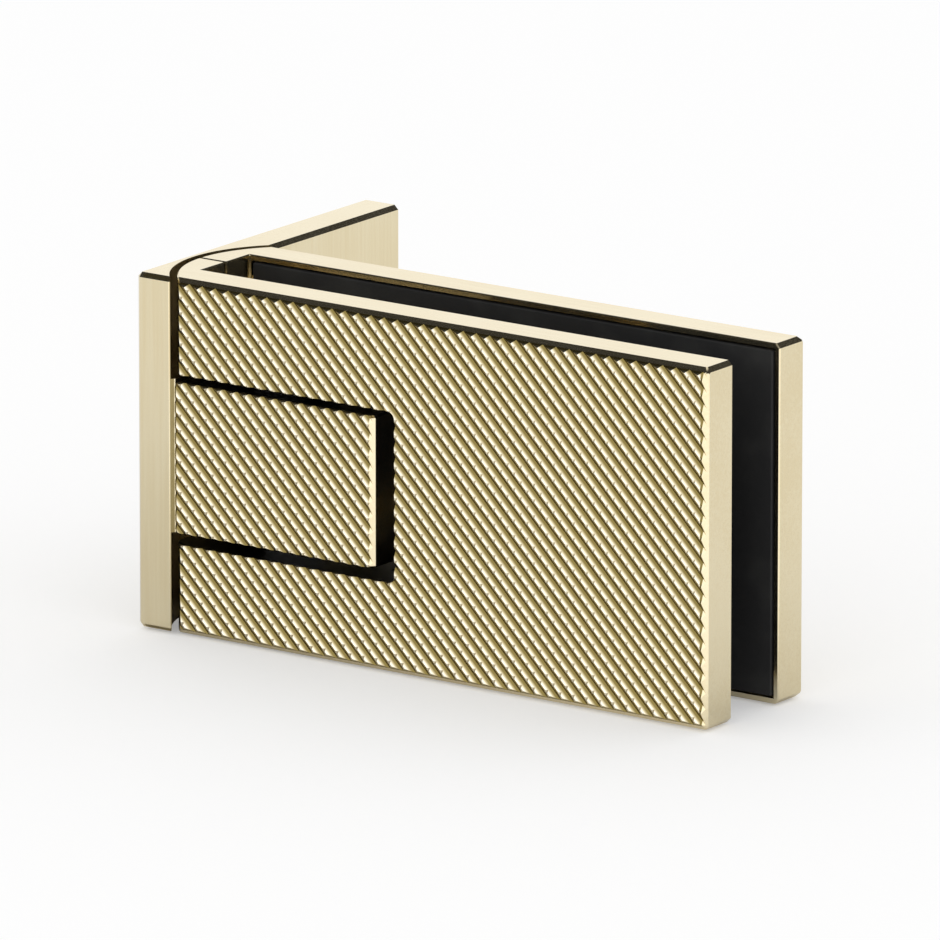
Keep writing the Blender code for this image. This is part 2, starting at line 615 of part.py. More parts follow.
def make_clamp_plate(shop, name, side, elevation, cutters):
    """One plate of the clamp, with hubs for the pin and bosses for the screws on its inner face."""
    plate = outline_solid(name, clamp_section(side), -HALF_HEIGHT, HALF_HEIGHT)
    shop.add_piece(plate, shop.brass)
    near, far = sorted((side * HALF_GAP, side * (PLATE_INNER_Y + CUT_OVERRUN)))
    hub_left = GLASS_STOP_X - CUT_OVERRUN
    length = far - near
    boss_profile = [(0, length), (BOSS_RADIUS, length), (BOSS_RADIUS, 0), (0, 0)]
    legs = (("upper", CUT_TOP - CUT_OVERRUN, HUB_TOP, BOSS_Z),
            ("lower", -HUB_TOP, CUT_BOTTOM + CUT_OVERRUN, -BOSS_Z))
    for place, low, high, boss_z in legs:
        hub = box_solid(f"{name}_{place}_hub", (hub_left, near, low), (HUB_REACH, far, high))
        combine(plate, shop.add_cutter(hub), "UNION")
        boss = turned_solid(f"{name}_{place}_boss", boss_profile)
        stand_on(shop.add_cutter(boss), (BOSS_X, near, boss_z), (0, 1, 0))
        combine(plate, boss, "UNION")
    combine(plate, elevation, "INTERSECT")
    floor = side * (HALF_GLASS + GASKET_THICKNESS + FIT)
    mouth = side * (PLATE_INNER_Y - CUT_OVERRUN)
    low, high = sorted((floor, mouth))
    pocket = outline_solid(name + "_gasket_pocket", gasket_outline(FIT), low, high, upright=True)
    combine(plate, shop.add_cutter(pocket))
    for cutter in cutters:
        combine(plate, cutter)
    return plate


def make_gasket(shop, name, side):
    """The rubber sheet between a plate and the glass."""
    low, high = sorted((side * HALF_GLASS, side * (HALF_GLASS + GASKET_THICKNESS)))
    gasket = outline_solid(name, gasket_outline(0), low, high, upright=True)
    return finish(shop.add_piece(gasket, shop.rubber))


def make_clamp_screws(shop):
    """Four countersunk screws from the back plate, and the cutters for their holes."""
    radius, head, land = CLAMP_SCREW_RADIUS, CLAMP_SCREW_HEAD_RADIUS, CLAMP_SCREW_HEAD_LAND
    length = CLAMP_THICKNESS - CLAMP_SCREW_SINK - CLAMP_SCREW_COVER - FIT
    cone_end = -land - (head - radius)
    profile = [(0, 0), (head, 0), (head, -land), (radius, cone_end), (radius, -length), (0, -length)]
    hole_profile = [(0, CUT_OVERRUN), (head + FIT, CUT_OVERRUN), (head + FIT, -land),
                    (radius + FIT, cone_end), (radius + FIT, -length - FIT), (0, -length - FIT)]
    mesh = socket_screw_mesh(shop, "clamp_screw", profile, CLAMP_SCREW_HEX)
    holes = []
    for number, (x, z) in enumerate(clamp_screw_places(), 1):
        screw = bpy.data.objects.new(f"clamp_screw_{number}", mesh)
        stand_on(shop.add_piece(screw, shop.stainless), (x, HALF_CLAMP - CLAMP_SCREW_SINK, z), (0, 1, 0))
        hole = shop.add_cutter(turned_solid(f"clamp_screw_hole_{number}", hole_profile, SCREW_STEPS))
        holes.append(stand_on(hole, (x, HALF_CLAMP - CLAMP_SCREW_SINK, z), (0, 1, 0)))
    return holes


def build():
    """Make every piece of the hinge."""
    shop = Workshop()
    plate = make_wall_plate(shop)
    block = make_knuckle(shop)
    make_knuckle_screws(shop, plate, block)
    make_lock_screws(shop, block)
    left = WALL_PLATE_THICKNESS + FIT - PIN_X
    knurl = knurled_block(shop, "knuckle_knurl", left, KNUCKLE_REACH, KNUCKLE_BOTTOM, KNUCKLE_TOP)
    combine(block, knurl, "INTERSECT")
    finish(plate)
    finish(block)
    make_fixed_cam(shop)
    make_retaining_ring(shop)
    make_pivot_pin(shop)
    make_moving_cam(shop)
    make_guide_bush(shop)
    elevation, pockets = make_clamp_tools(shop)
    cutters = pockets + make_clamp_screws(shop)
    front = make_clamp_plate(shop, "front_plate", -1, elevation, cutters)
    knurl = knurled_block(shop, "front_plate_knurl", -LEG_RADIUS, CLAMP_REACH, -HALF_HEIGHT, HALF_HEIGHT)
    combine(front, knurl, "INTERSECT")
    finish(front)
    finish(make_clamp_plate(shop, "back_plate", 1, elevation, cutters))
    make_gasket(shop, "front_gasket", -1)
    make_gasket(shop, "back_gasket", 1)


build()
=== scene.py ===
"""Dresses a knurled rising hinge for a frameless glass door.

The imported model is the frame.  The brass pieces are rebuilt here with a fine diamond knurl and crisp
chamfers, the screws get their heads and sockets, and every piece gets its finish.  All sizes are in
metres in the model's own axes: +X out of the wall along the closed door, -Y the knurled front, and
+Z up.
"""

from __future__ import annotations

import logging
from dataclasses import dataclass, field
from enum import Enum
from math import asin, cos, hypot, pi, radians, sin, sqrt
from typing import Any, Iterable, Sequence

import bmesh
import bpy
from mathutils import Matrix, Vector


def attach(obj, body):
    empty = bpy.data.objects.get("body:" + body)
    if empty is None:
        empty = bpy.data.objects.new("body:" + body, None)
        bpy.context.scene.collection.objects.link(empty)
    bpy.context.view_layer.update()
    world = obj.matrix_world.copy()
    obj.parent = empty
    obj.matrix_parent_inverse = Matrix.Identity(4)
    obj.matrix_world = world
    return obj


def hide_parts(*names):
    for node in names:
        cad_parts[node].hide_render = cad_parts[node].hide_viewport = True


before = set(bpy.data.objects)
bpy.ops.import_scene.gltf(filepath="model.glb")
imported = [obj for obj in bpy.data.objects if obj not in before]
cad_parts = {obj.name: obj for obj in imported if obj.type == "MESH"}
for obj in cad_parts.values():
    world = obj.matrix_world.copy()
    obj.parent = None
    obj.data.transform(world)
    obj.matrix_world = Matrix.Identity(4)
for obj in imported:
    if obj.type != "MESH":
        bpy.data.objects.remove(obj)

MM = 0.001
FLAT_WITHIN = radians(0.5)
CHAMFER_FROM = radians(50)
SHARP_FROM = radians(20)
log = logging.getLogger("rising_hinge")

Point = tuple[float, float]
Triple = tuple[float, float, float]


class Body(Enum):
    """The rigid bodies that the pieces ride on."""

    WALL_SIDE = "wall_side"
    DOOR_SIDE = "door_side"


class Slot(Enum):
    """The material slots that the pieces stand for."""

    BRASS = "champagne_brass"
    STAINLESS = "stainless_steel"
    RUBBER = "black_rubber"


class Join(Enum):
    """How a tool shapes a piece."""

    CUT = "DIFFERENCE"
    ADD = "UNION"
    KEEP = "INTERSECT"


class Plane(Enum):
    """The view of an outline: which of its two axes and its thickness become X, Y and Z."""

    PLAN = (0, 1, 2)
    FRONT = (0, 2, 1)
    SIDE = (2, 0, 1)


class Face(Enum):
    """The front or the back plate of the clamp, by the sign of its Y."""

    FRONT = -1
    BACK = 1


class Signal:
    """An output socket of a node that takes part in Python arithmetic."""

    def __init__(self, nodes: Nodes, socket: bpy.types.NodeSocket) -> None:
        """Wrap a socket.

        Args:
            nodes: The tree that the socket belongs to.
            socket: The output socket.
        """
        self.nodes = nodes
        self.socket = socket

    def math(self, operation: str, *values: Signal | float) -> Signal:
        """Add a Math node.

        Args:
            operation: The node's operation.
            values: Its inputs in order.

        Returns:
            The node's result.
        """
        return self.nodes.signal("ShaderNodeMath", {"operation": operation}, dict(enumerate(values)))

    def __add__(self, other: Signal | float) -> Signal:
        """The sum of two signals."""
        return self.math("ADD", self, other)

    __radd__ = __add__

    def __sub__(self, other: Signal | float) -> Signal:
        """This signal less another."""
        return self.math("SUBTRACT", self, other)

    def __rsub__(self, other: float) -> Signal:
        """A number less this signal."""
        return self.math("SUBTRACT", other, self)

    def __mul__(self, other: Signal | float) -> Signal:
        """The product of two signals."""
        return self.math("MULTIPLY", self, other)

    __rmul__ = __mul__

    def rest(self, divisor: float) -> Signal:
        """What is left of this signal after a division."""
        return self.math("MODULO", self, divisor)

    def rounded(self) -> Signal:
        """The nearest whole number."""
        return self.math("ROUND", self)

    def size(self) -> Signal:
        """The value without its sign."""
        return self.math("ABSOLUTE", self)

    def larger(self, other: Signal) -> Signal:
        """The larger of two signals."""
        return self.math("MAXIMUM", self, other)

    def spread(self, amount: float) -> Signal:
        """Noise about 0.5 turned into a spread about 0."""
        return (self - 0.5) * amount

    def ramp(self, low: float, high: float) -> Signal:
        """Rise smoothly from 0 at one value to 1 at another.

        Args:
            low: The value that gives 0.
            high: The value that gives 1.

        Returns:
            The smoothed share.
        """
        settings = {"interpolation_type": "SMOOTHSTEP"}
        inputs = {"Value": self, "From Min": low, "From Max": high}
        return self.nodes.signal("ShaderNodeMapRange", settings, inputs)


class Nodes:
    """A node tree that is filled from Python expressions."""

    def __init__(self, tree: bpy.types.NodeTree) -> None:
        """Start on a tree with its nodes removed."""
        self.tree = tree
        tree.nodes.clear()

    def node(self, kind: str, settings: dict[str, Any] | None = None,
             inputs: dict[int | str, Any] | None = None) -> bpy.types.Node:
        """Add a node.

        Args:
            kind: The node's type.
            settings: Its properties, which are set first.
            inputs: Values, signals or lists of signals for its input sockets.

        Returns:
            The new node.
        """
        node = self.tree.nodes.new(kind)
        for name, value in (settings or {}).items():
            setattr(node, name, value)
        for key, value in (inputs or {}).items():
            for part in value if isinstance(value, list) else [value]:
                if isinstance(part, Signal):
                    self.tree.links.new(part.socket, node.inputs[key])
                else:
                    node.inputs[key].default_value = part
        return node

    def signal(self, kind: str, settings: dict[str, Any] | None = None,
               inputs: dict[int | str, Any] | None = None, output: int | str = 0) -> Signal:
        """Add a node and take one of its outputs.

        Args:
            kind: The node's type.
            settings: Its properties.
            inputs: Values or signals for its input sockets.
            output: The output's name or place.

        Returns:
            The output as a signal.
        """
        return Signal(self, self.node(kind, settings, inputs).outputs[output])

    def vector(self, operation: str, *values: Signal | Triple, output: str = "Vector") -> Signal:
        """Add a Vector Math node.

        Args:
            operation: The node's operation.
            values: Its inputs in order.
            output: The output to take.

        Returns:
            The node's result.
        """
        settings = {"operation": operation}
        return self.signal("ShaderNodeVectorMath", settings, dict(enumerate(values)), output)

    def axis(self, vector: Signal, index: int) -> Signal:
        """One coordinate of a vector."""
        return self.signal("ShaderNodeSeparateXYZ", None, {0: vector}, index)


class ShaderNodes(Nodes):
    """A shader tree with the textures that the finishes share."""

    def place(self) -> Signal:
        """The position on the object, in metres."""
        return self.signal("ShaderNodeTexCoord", output="Object")

    def noise(self, vector: Signal, per_metre: Triple, detail: float = 3.0) -> Signal:
        """Noise with its own fineness along each axis.

        Args:
            vector: The position.
            per_metre: Features per metre along X, Y and Z.
            detail: The number of octaves.

        Returns:
            Values about 0.5.
        """
        stretched = self.vector("MULTIPLY", vector, per_metre)
        inputs = {"Vector": stretched, "Scale": 1.0, "Detail": detail}
        return self.signal("ShaderNodeTexNoise", None, inputs)

    def mix(self, share: Signal, low: Triple | Signal, high: Triple | Signal) -> Signal:
        """Mix two colours.

        Args:
            share: 0 for the first colour and 1 for the second.
            low: The first colour.
            high: The second colour.

        Returns:
            The mixed colour.
        """
        colours = [value if isinstance(value, Signal) else (*value, 1.0) for value in (low, high)]
        inputs = {"Factor": share, "A": colours[0], "B": colours[1]}
        node = self.node("ShaderNodeMix", {"data_type": "RGBA"})
        for name, value in inputs.items():
            socket = [item for item in node.inputs if item.name == name and item.enabled][0]
            if isinstance(value, Signal):
                self.tree.links.new(value.socket, socket)
            else:
                socket.default_value = value
        return Signal(self, [item for item in node.outputs if item.enabled][0])

    def bump(self, height: Signal, distance: float, strength: float) -> Signal:
        """Turn a height into a normal.

        Args:
            height: The height, 0 to 1.
            distance: What a height of 1 stands for, in metres.
            strength: The share of the slope that is kept.

        Returns:
            The bumped normal.
        """
        inputs = {"Height": height, "Distance": distance, "Strength": strength}
        return self.signal("ShaderNodeBump", None, inputs)


@dataclass(frozen=True)
class Finish:
    """A procedural finish.  Its material is made once and then shared."""

    name: str

    def material(self) -> bpy.types.Material:
        """Make the finish, or find it where it has been made.

        Returns:
            Its material.
        """
        found = bpy.data.materials.get(self.name)
        if found:
            return found
        made = bpy.data.materials.new(self.name)
        made.use_nodes = True
        nodes = ShaderNodes(made.node_tree)
        principled = nodes.node("ShaderNodeBsdfPrincipled")
        nodes.node("ShaderNodeOutputMaterial", None, {"Surface": Signal(nodes, principled.outputs[0])})
        self.paint(nodes, principled)
        return made

    def paint(self, nodes: ShaderNodes, principled: bpy.types.Node) -> None:
        """Give the shader its colour, roughness and bump.

        Args:
            nodes: The material's tree.
            principled: Its shader.
        """
        raise NotImplementedError

    @staticmethod
    def feed(nodes: ShaderNodes, principled: bpy.types.Node, **signals: Signal) -> None:
        """Link signals to the shader's sockets.

        Args:
            nodes: The material's tree.
            principled: Its shader.
            signals: A signal for each socket, named in lower case with underscores.
        """
        for name, signal in signals.items():
            nodes.tree.links.new(signal.socket, principled.inputs[name.replace("_", " ").title()])


@dataclass(frozen=True)
class PaintedShadeBox:
    """A gap whose walls get painted shade, everywhere or only where another wall is near."""

    low: Triple
    high: Triple
    # The colour of the painted shade on the gap's walls.
    black: Triple = (0.05, 0.047, 0.042)
    soft_edge: float = 0.1 * MM
    near: float = 0.0
    shut_below: float = 0.4
    open_above: float = 0.75
    probes: int = 8

    def share(self, nodes: ShaderNodes, place: Signal) -> Signal:
        """How far a point lies within the box.

        Args:
            nodes: The material's tree.
            place: The position.

        Returns:
            1 inside and 0 outside, over a soft edge.
        """
        inside: Signal | None = None
        for index, (low, high) in enumerate(zip(self.low, self.high)):
            level = nodes.axis(place, index)
            within = level.ramp(low, low + self.soft_edge) * level.ramp(high, high - self.soft_edge)
            inside = within if inside is None else inside * within
        # Painted shade from ambient occlusion: the walls darken only where another wall is near.
        if self.near:
            openness = nodes.signal("ShaderNodeAmbientOcclusion", {"samples": self.probes},
                                    {"Distance": self.near}, "AO")
            inside = inside * openness.ramp(self.open_above, self.shut_below)
        return inside


@dataclass(frozen=True)
class PlatedBrass(Finish):
    """Pale champagne plating over finely brushed brass."""

    light: Triple = (0.90, 0.795, 0.55)
    dark: Triple = (0.85, 0.73, 0.475)
    roughness: float = 0.18
    tones: Point = (0.35, 0.65)
    grain: Triple = (60.0, 2600.0, 2600.0)
    grain_height: float = 0.004 * MM
    grain_slope: float = 0.5
    grain_roughness: float = 0.1
    clouds: Triple = (70.0, 70.0, 70.0)
    cloud_roughness: float = 0.08
    gap: PaintedShadeBox | None = None
    gap_roughness: float = 0.15

    def paint(self, nodes: ShaderNodes, principled: bpy.types.Node) -> None:
        """Brushed lines, soft clouds in the plating, a little unevenness in the gloss, and painted shade on
        a gap's walls.

        Args:
            nodes: The material's tree.
            principled: Its shader.
        """
        place = nodes.place()
        lines = nodes.noise(place, self.grain)
        clouds = nodes.noise(place, self.clouds, detail=2.0)
        plating = nodes.mix((lines * 0.5 + clouds * 0.5).ramp(*self.tones), self.dark, self.light)
        gloss = self.roughness + lines.spread(self.grain_roughness) + clouds.spread(self.cloud_roughness)
        colour, roughness = self.wear_and_painted_light(nodes, place, plating, gloss)
        # Painted shade: inside the gap box the walls are mixed towards a dark shade colour.
        if self.gap:
            inside = self.gap.share(nodes, place)
            colour = nodes.mix(inside, colour, self.gap.black)
            roughness = roughness + inside * self.gap_roughness
        self.feed(nodes, principled, base_color=colour, roughness=roughness,
                  normal=nodes.bump(lines, self.grain_height, self.grain_slope))
        principled.inputs["Metallic"].default_value = 1.0

    def wear_and_painted_light(self, nodes: ShaderNodes, place: Signal, colour: Signal,
             roughness: Signal) -> tuple[Signal, Signal]:
        """Leave the plating as it is."""
        return colour, roughness


@dataclass(frozen=True)
class KnurledBrass(PlatedBrass):
    """The plating over a knurl, palest on the crests from wear and a painted highlight, and deeper in tone
    and duller in the grooves from painted shade and grime.

    Levels are shares of the knurl's depth, from 0 at the crests to 1 at the bottom of the grooves.
    """

    # Crest colour: wear and a painted highlight. Groove colour: painted shade and grime.
    crest: Triple = (0.97, 0.915, 0.765)
    crest_levels: Point = (0.5, 0.1)
    groove: Triple = (0.25, 0.192, 0.062)
    groove_levels: Point = (0.15, 0.75)
    groove_roughness: float = 0.1
    last_levels: Point = (1.06, 1.02)
    face: float = -11.0 * MM
    depth: float = 0.45 * MM
    right: float = 88.3 * MM
    right_softness: float = 0.02 * MM
    end_shade_line: float = 0.0
    end_line_start: float = 1.3

    def wear_and_painted_light(self, nodes: ShaderNodes, place: Signal, colour: Signal,
             roughness: Signal) -> tuple[Signal, Signal]:
        """Paint the crests pale, as wear and a painted highlight, and deepen the tone towards the bottom of
        the grooves, as painted shade and grime.

        Args:
            nodes: The material's tree.
            place: The position.
            colour: The plating's colour.
            roughness: Its roughness.

        Returns:
            The new colour and roughness.
        """
        across, level = nodes.axis(place, 0), (nodes.axis(place, 1) - self.face) * (1.0 / self.depth)
        crest_wear_and_highlight, sunk = level.ramp(*self.crest_levels), level.ramp(*self.groove_levels)
        # A painted shade line just short of the knurl's right end, standing in for a shaded relief groove.
        if self.end_shade_line:
            start = self.right - self.end_line_start * self.end_shade_line
            sunk = sunk.larger(across.ramp(start, self.right - self.end_shade_line))
        inward = across.ramp(self.right + self.right_softness, self.right - self.right_softness)
        knurled = level.ramp(*self.last_levels) * inward
        crest_wear_and_highlight, sunk = crest_wear_and_highlight * knurled, sunk * knurled
        # Mix in the painted highlight on the crests and the painted shade in the grooves.
        worn_and_painted_light = nodes.mix(sunk, nodes.mix(crest_wear_and_highlight, colour, self.crest), self.groove)
        return worn_and_painted_light, roughness + sunk * self.groove_roughness


@dataclass(frozen=True)
class Steel(Finish):
    """Machined steel, bright or dark, with a film of grease where it runs."""

    light: Triple = (0.66, 0.66, 0.65)
    dark: Triple = (0.56, 0.56, 0.56)
    tones: Point = (0.3, 0.7)
    roughness: float = 0.3
    marks: Triple = (900.0, 900.0, 5200.0)
    mark_height: float = 0.006 * MM
    mark_slope: float = 0.5
    mark_roughness: float = 0.16
    grease: float = 0.0
    grease_colour: Triple = (0.30, 0.22, 0.10)
    grease_patches: Triple = (260.0, 260.0, 260.0)
    grease_levels: Point = (0.42, 0.62)
    grease_dulling: float = 0.7
    grease_gloss: float = 0.1

    def paint(self, nodes: ShaderNodes, principled: bpy.types.Node) -> None:
        """Fine turning marks, and grease in soft patches.

        Args:
            nodes: The material's tree.
            principled: Its shader.
        """
        place = nodes.place()
        marks = nodes.noise(place, self.marks)
        film = nodes.noise(place, self.grease_patches, detail=2.0)
        patches = film.ramp(*self.grease_levels) * self.grease
        metal = nodes.mix(marks.ramp(*self.tones), self.dark, self.light)
        colour = nodes.mix(patches, metal, self.grease_colour)
        gloss = self.roughness + marks.spread(self.mark_roughness) - patches * self.grease_gloss
        self.feed(nodes, principled, base_color=colour, metallic=1.0 - patches * self.grease_dulling,
                  roughness=gloss, normal=nodes.bump(marks, self.mark_height, self.mark_slope))


@dataclass(frozen=True)
class Rubber(Finish):
    """Matt black rubber with a fine moulded grain and a trace of dust."""

    colour: Triple = (0.017, 0.017, 0.018)
    dust: Triple = (0.03, 0.03, 0.029)
    dust_clouds: Triple = (160.0, 160.0, 160.0)
    dust_levels: Point = (0.45, 0.75)
    dust_roughness: float = 0.16
    roughness: float = 0.72
    grain: Triple = (2400.0, 2400.0, 2400.0)
    grain_height: float = 0.02 * MM
    grain_slope: float = 0.6

    def paint(self, nodes: ShaderNodes, principled: bpy.types.Node) -> None:
        """A grain in the surface and dust that lies on it unevenly.

        Args:
            nodes: The material's tree.
            principled: Its shader.
        """
        place = nodes.place()
        grain = nodes.noise(place, self.grain, detail=2.0)
        clouds = nodes.noise(place, self.dust_clouds)
        colour = nodes.mix(clouds.ramp(*self.dust_levels), self.colour, self.dust)
        gloss = self.roughness + clouds.spread(self.dust_roughness)
        self.feed(nodes, principled, base_color=colour, roughness=gloss,
                  normal=nodes.bump(grain, self.grain_height, self.grain_slope))


# Boxes of painted shade on gap walls: the cut-out round the knuckle, the leg recesses in an olive shade,
# and the knuckle's sides where ambient occlusion finds a wall near.
CUT_OUT = PaintedShadeBox((5.0 * MM, -10.4 * MM, -12.0 * MM), (41.0 * MM, 10.4 * MM, 11.1 * MM))
LEG_RECESS = PaintedShadeBox((1.0 * MM, -10.95 * MM, -23.45 * MM), (5.75 * MM, 11.3 * MM, 23.45 * MM),
                    black=(0.36, 0.285, 0.13))
TONGUE = PaintedShadeBox((6.5 * MM, -10.2 * MM, -10.5 * MM), (38.0 * MM, 10.9 * MM, 10.1 * MM), near=10.0 * MM)
BRUSHED_ALONG = PlatedBrass("champagne_brass_brushed_along", gap=CUT_OUT)
BRUSHED_UPRIGHT = PlatedBrass("champagne_brass_brushed_upright", grain=(2600.0, 2600.0, 60.0),
                              gap=LEG_RECESS)
KNURLED_PLATE = KnurledBrass("champagne_brass_knurled_plate", gap=CUT_OUT, end_shade_line=0.25 * MM)
KNURLED_TONGUE = KnurledBrass("champagne_brass_knurled_tongue", gap=TONGUE, right=36.7 * MM)
STAINLESS = Steel("stainless_steel_turned")
HARDENED = Steel("hardened_steel_greased", light=(0.30, 0.31, 0.32), dark=(0.20, 0.21, 0.22),
                 roughness=0.36, grease=0.8)
BLACK_RUBBER = Rubber("black_rubber_matt")


def from_bmesh(name: str, shape: bmesh.types.BMesh) -> bpy.types.Object:
    """Link an object made from a bmesh, which is freed.

    Args:
        name: The object's name.
        shape: Its shape.

    Returns:
        The object.
    """
    mesh = bpy.data.meshes.new(name)
    shape.to_mesh(mesh)
    shape.free()
    item = bpy.data.objects.new(name, mesh)
    bpy.context.scene.collection.objects.link(item)
    return item


def prism(name: str, outline: Sequence[Point], low: float, high: float,
          plane: Plane = Plane.PLAN) -> bpy.types.Object:
    """A flat outline with thickness.

    Args:
        name: The object's name.
        outline: Its corners in the plane.
        low: Where it begins on the third axis.
        high: Where it ends.
        plane: The view that the outline is drawn in.

    Returns:
        The solid.
    """
    shape = bmesh.new()
    corners = [shape.verts.new([(a, b, low)[part] for part in plane.value]) for a, b in outline]
    base = shape.faces.new(corners)
    grown = bmesh.ops.extrude_face_region(shape, geom=[base])["geom"]
    moved = [part for part in grown if isinstance(part, bmesh.types.BMVert)]
    bmesh.ops.translate(shape, vec=[(0, 0, high - low)[part] for part in plane.value], verts=moved)
    bmesh.ops.recalc_face_normals(shape, faces=shape.faces)
    return from_bmesh(name, shape)


def block(name: str, low: Triple, high: Triple) -> bpy.types.Object:
    """A box between two corners."""
    outline = [(low[0], low[1]), (high[0], low[1]), (high[0], high[1]), (low[0], high[1])]
    return prism(name, outline, low[2], high[2])


def turned(name: str, profile: Sequence[Point], steps: int, place: Triple,
           direction: Triple = (0, 0, 1)) -> bpy.types.Object:
    """A profile turned round its own axis.

    Args:
        name: The object's name.
        profile: Points of radius and height, from the rim of one flat end to that of the other.
        steps: The number of facets round it.
        place: Where the axis starts.
        direction: Where the height points.

    Returns:
        The solid.
    """
    shape = bmesh.new()
    points = [shape.verts.new((radius, 0, height)) for radius, height in profile]
    edges = [shape.edges.new(pair) for pair in zip(points, points[1:])]
    bmesh.ops.spin(shape, geom=points + edges, cent=(0, 0, 0), axis=(0, 0, 1), angle=2 * pi, steps=steps,
                   use_merge=True)
    bmesh.ops.holes_fill(shape, edges=shape.edges)
    bmesh.ops.recalc_face_normals(shape, faces=shape.faces)
    turn = Vector(direction).to_track_quat("Z", "Y").to_matrix().to_4x4()
    shape.transform(Matrix.Translation(place) @ turn)
    return from_bmesh(name, shape)


def settle(item: bpy.types.Object) -> bpy.types.Object:
    """Make an object's modifiers part of its mesh.

    Args:
        item: The object.

    Returns:
        The same object.
    """
    bpy.context.view_layer.update()
    mesh = bpy.data.meshes.new_from_object(item.evaluated_get(bpy.context.evaluated_depsgraph_get()))
    item.modifiers.clear()
    item.data = mesh
    mesh.name = item.name
    return item


def shape_with(item: bpy.types.Object, join: Join, tools: Iterable[bpy.types.Object]) -> bpy.types.Object:
    """Cut, join or trim an object with tools, which are used up.

    Args:
        item: The object.
        join: What the tools do.
        tools: The tools, in order.

    Returns:
        The same object.
    """
    spent = list(tools)
    for tool in spent:
        modifier = item.modifiers.new(tool.name, "BOOLEAN")
        modifier.operation = join.value
        modifier.object = tool
        modifier.solver = "EXACT"
    settle(item)
    for tool in spent:
        bpy.data.objects.remove(tool, do_unlink=True)
    return item


def chamfer(item: bpy.types.Object, width: float) -> bpy.types.Object:
    """Break every sharp edge of an object, once the faces that lie in one plane are joined.

    Args:
        item: The object.
        width: The width of the chamfer.

    Returns:
        The same object.
    """
    shape = bmesh.new()
    shape.from_mesh(item.data)
    bmesh.ops.dissolve_limit(shape, angle_limit=FLAT_WITHIN, verts=shape.verts, edges=shape.edges)
    shape.to_mesh(item.data)
    shape.free()
    bevel = item.modifiers.new("chamfer", "BEVEL")
    bevel.width = width
    bevel.segments = 1
    bevel.limit_method = "ANGLE"
    bevel.angle_limit = CHAMFER_FROM
    return settle(item)


def arc(centre: Point, radius: float, start: float, end: float, steps: int = 6) -> list[Point]:
    """Points on an arc, with both ends.

    Args:
        centre: Its centre.
        radius: Its radius.
        start: The first angle.
        end: The last angle.
        steps: The number of facets.

    Returns:
        The points.
    """
    turn = (end - start) / steps
    return [(centre[0] + radius * cos(start + turn * i), centre[1] + radius * sin(start + turn * i))
            for i in range(steps + 1)]


def dress(item: bpy.types.Object, finish: Finish, body: Body, nodes: Sequence[str]) -> None:
    """Finish a piece, and put it in the place of its nodes.

    Args:
        item: The piece.
        finish: Its finish.
        body: The body that it rides on.
        nodes: The nodes that it replaces.
    """
    item.data.materials.clear()
    item.data.materials.append(finish.material())
    item.data.shade_smooth()
    item.data.set_sharp_from_angle(angle=SHARP_FROM)
    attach(item, body.value)
    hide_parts(*nodes)
    log.info("%s: %d faces for %s", item.name, len(item.data.polygons), ", ".join(nodes))


def numbered(name: str, count: int) -> list[str]:
    """The names of nodes that are alike but for their number."""
    return [f"{name}_{number}" for number in range(1, count + 1)]


class GeometryTree(Nodes):
    """A Geometry Nodes tree with named inputs, made ready to run on an object."""

    def __init__(self, name: str) -> None:
        """Start a tree that takes and gives geometry.

        Args:
            name: The tree's name.
        """
        super().__init__(bpy.data.node_groups.new(name, "GeometryNodeTree"))
        self.tree.interface.new_socket("Geometry", in_out="INPUT", socket_type="NodeSocketGeometry")
        self.tree.interface.new_socket("Geometry", in_out="OUTPUT", socket_type="NodeSocketGeometry")
        self.group_input = self.tree.nodes.new("NodeGroupInput")
        self.values: dict[str, Any] = {}

    def ask(self, name: str, kind: str, value: Any) -> Signal:
        """Add a named input.

        Args:
            name: The input's name.
            kind: Its socket type, such as Float.
            value: What the modifier sets it to.

        Returns:
            The input as a signal.
        """
        item = self.tree.interface.new_socket(name, in_out="INPUT", socket_type="NodeSocket" + kind)
        self.values[item.identifier] = value
        return Signal(self, self.group_input.outputs[name])

    def given(self) -> Signal:
        """The geometry that the modifier works on."""
        return Signal(self, self.group_input.outputs["Geometry"])

    def transform(self, geometry: Signal, how: str, value: Signal | Triple) -> Signal:
        """Move or turn geometry by a Translation or a Rotation."""
        return self.signal("GeometryNodeTransform", None, {"Geometry": geometry, how: value})

    def choose(self, index: Signal, values: Sequence[Signal | float]) -> Signal:
        """Pick one of several numbers by its place in the list.

        Args:
            index: The place.
            values: The numbers.

        Returns:
            The number at that place.
        """
        node = self.node("GeometryNodeIndexSwitch", {"data_type": "FLOAT"}, {"Index": index})
        while len(node.index_switch_items) < len(values):
            node.index_switch_items.new()
        for socket, value in zip(node.inputs[1:], values):
            if isinstance(value, Signal):
                self.tree.links.new(value.socket, socket)
            else:
                socket.default_value = value
        return Signal(self, node.outputs[0])

    def finish(self, geometry: Signal, material: Signal) -> None:
        """End the tree with Realize Instances and Set Material.

        Args:
            geometry: The geometry to give.
            material: The material to set.
        """
        real = self.signal("GeometryNodeRealizeInstances", None, {"Geometry": geometry})
        painted = self.signal("GeometryNodeSetMaterial", None, {"Geometry": real, "Material": material})
        self.node("NodeGroupOutput", None, {"Geometry": painted})

    def run(self, item: bpy.types.Object) -> bpy.types.Object:
        """Run the tree on an object, and keep the result as its plain mesh.

        Args:
            item: The object.

        Returns:
            The same object.
        """
        modifier = item.modifiers.new(self.tree.name, "NODES")
        modifier.node_group = self.tree
        for identifier, value in self.values.items():
            modifier[identifier] = value
        return settle(item)


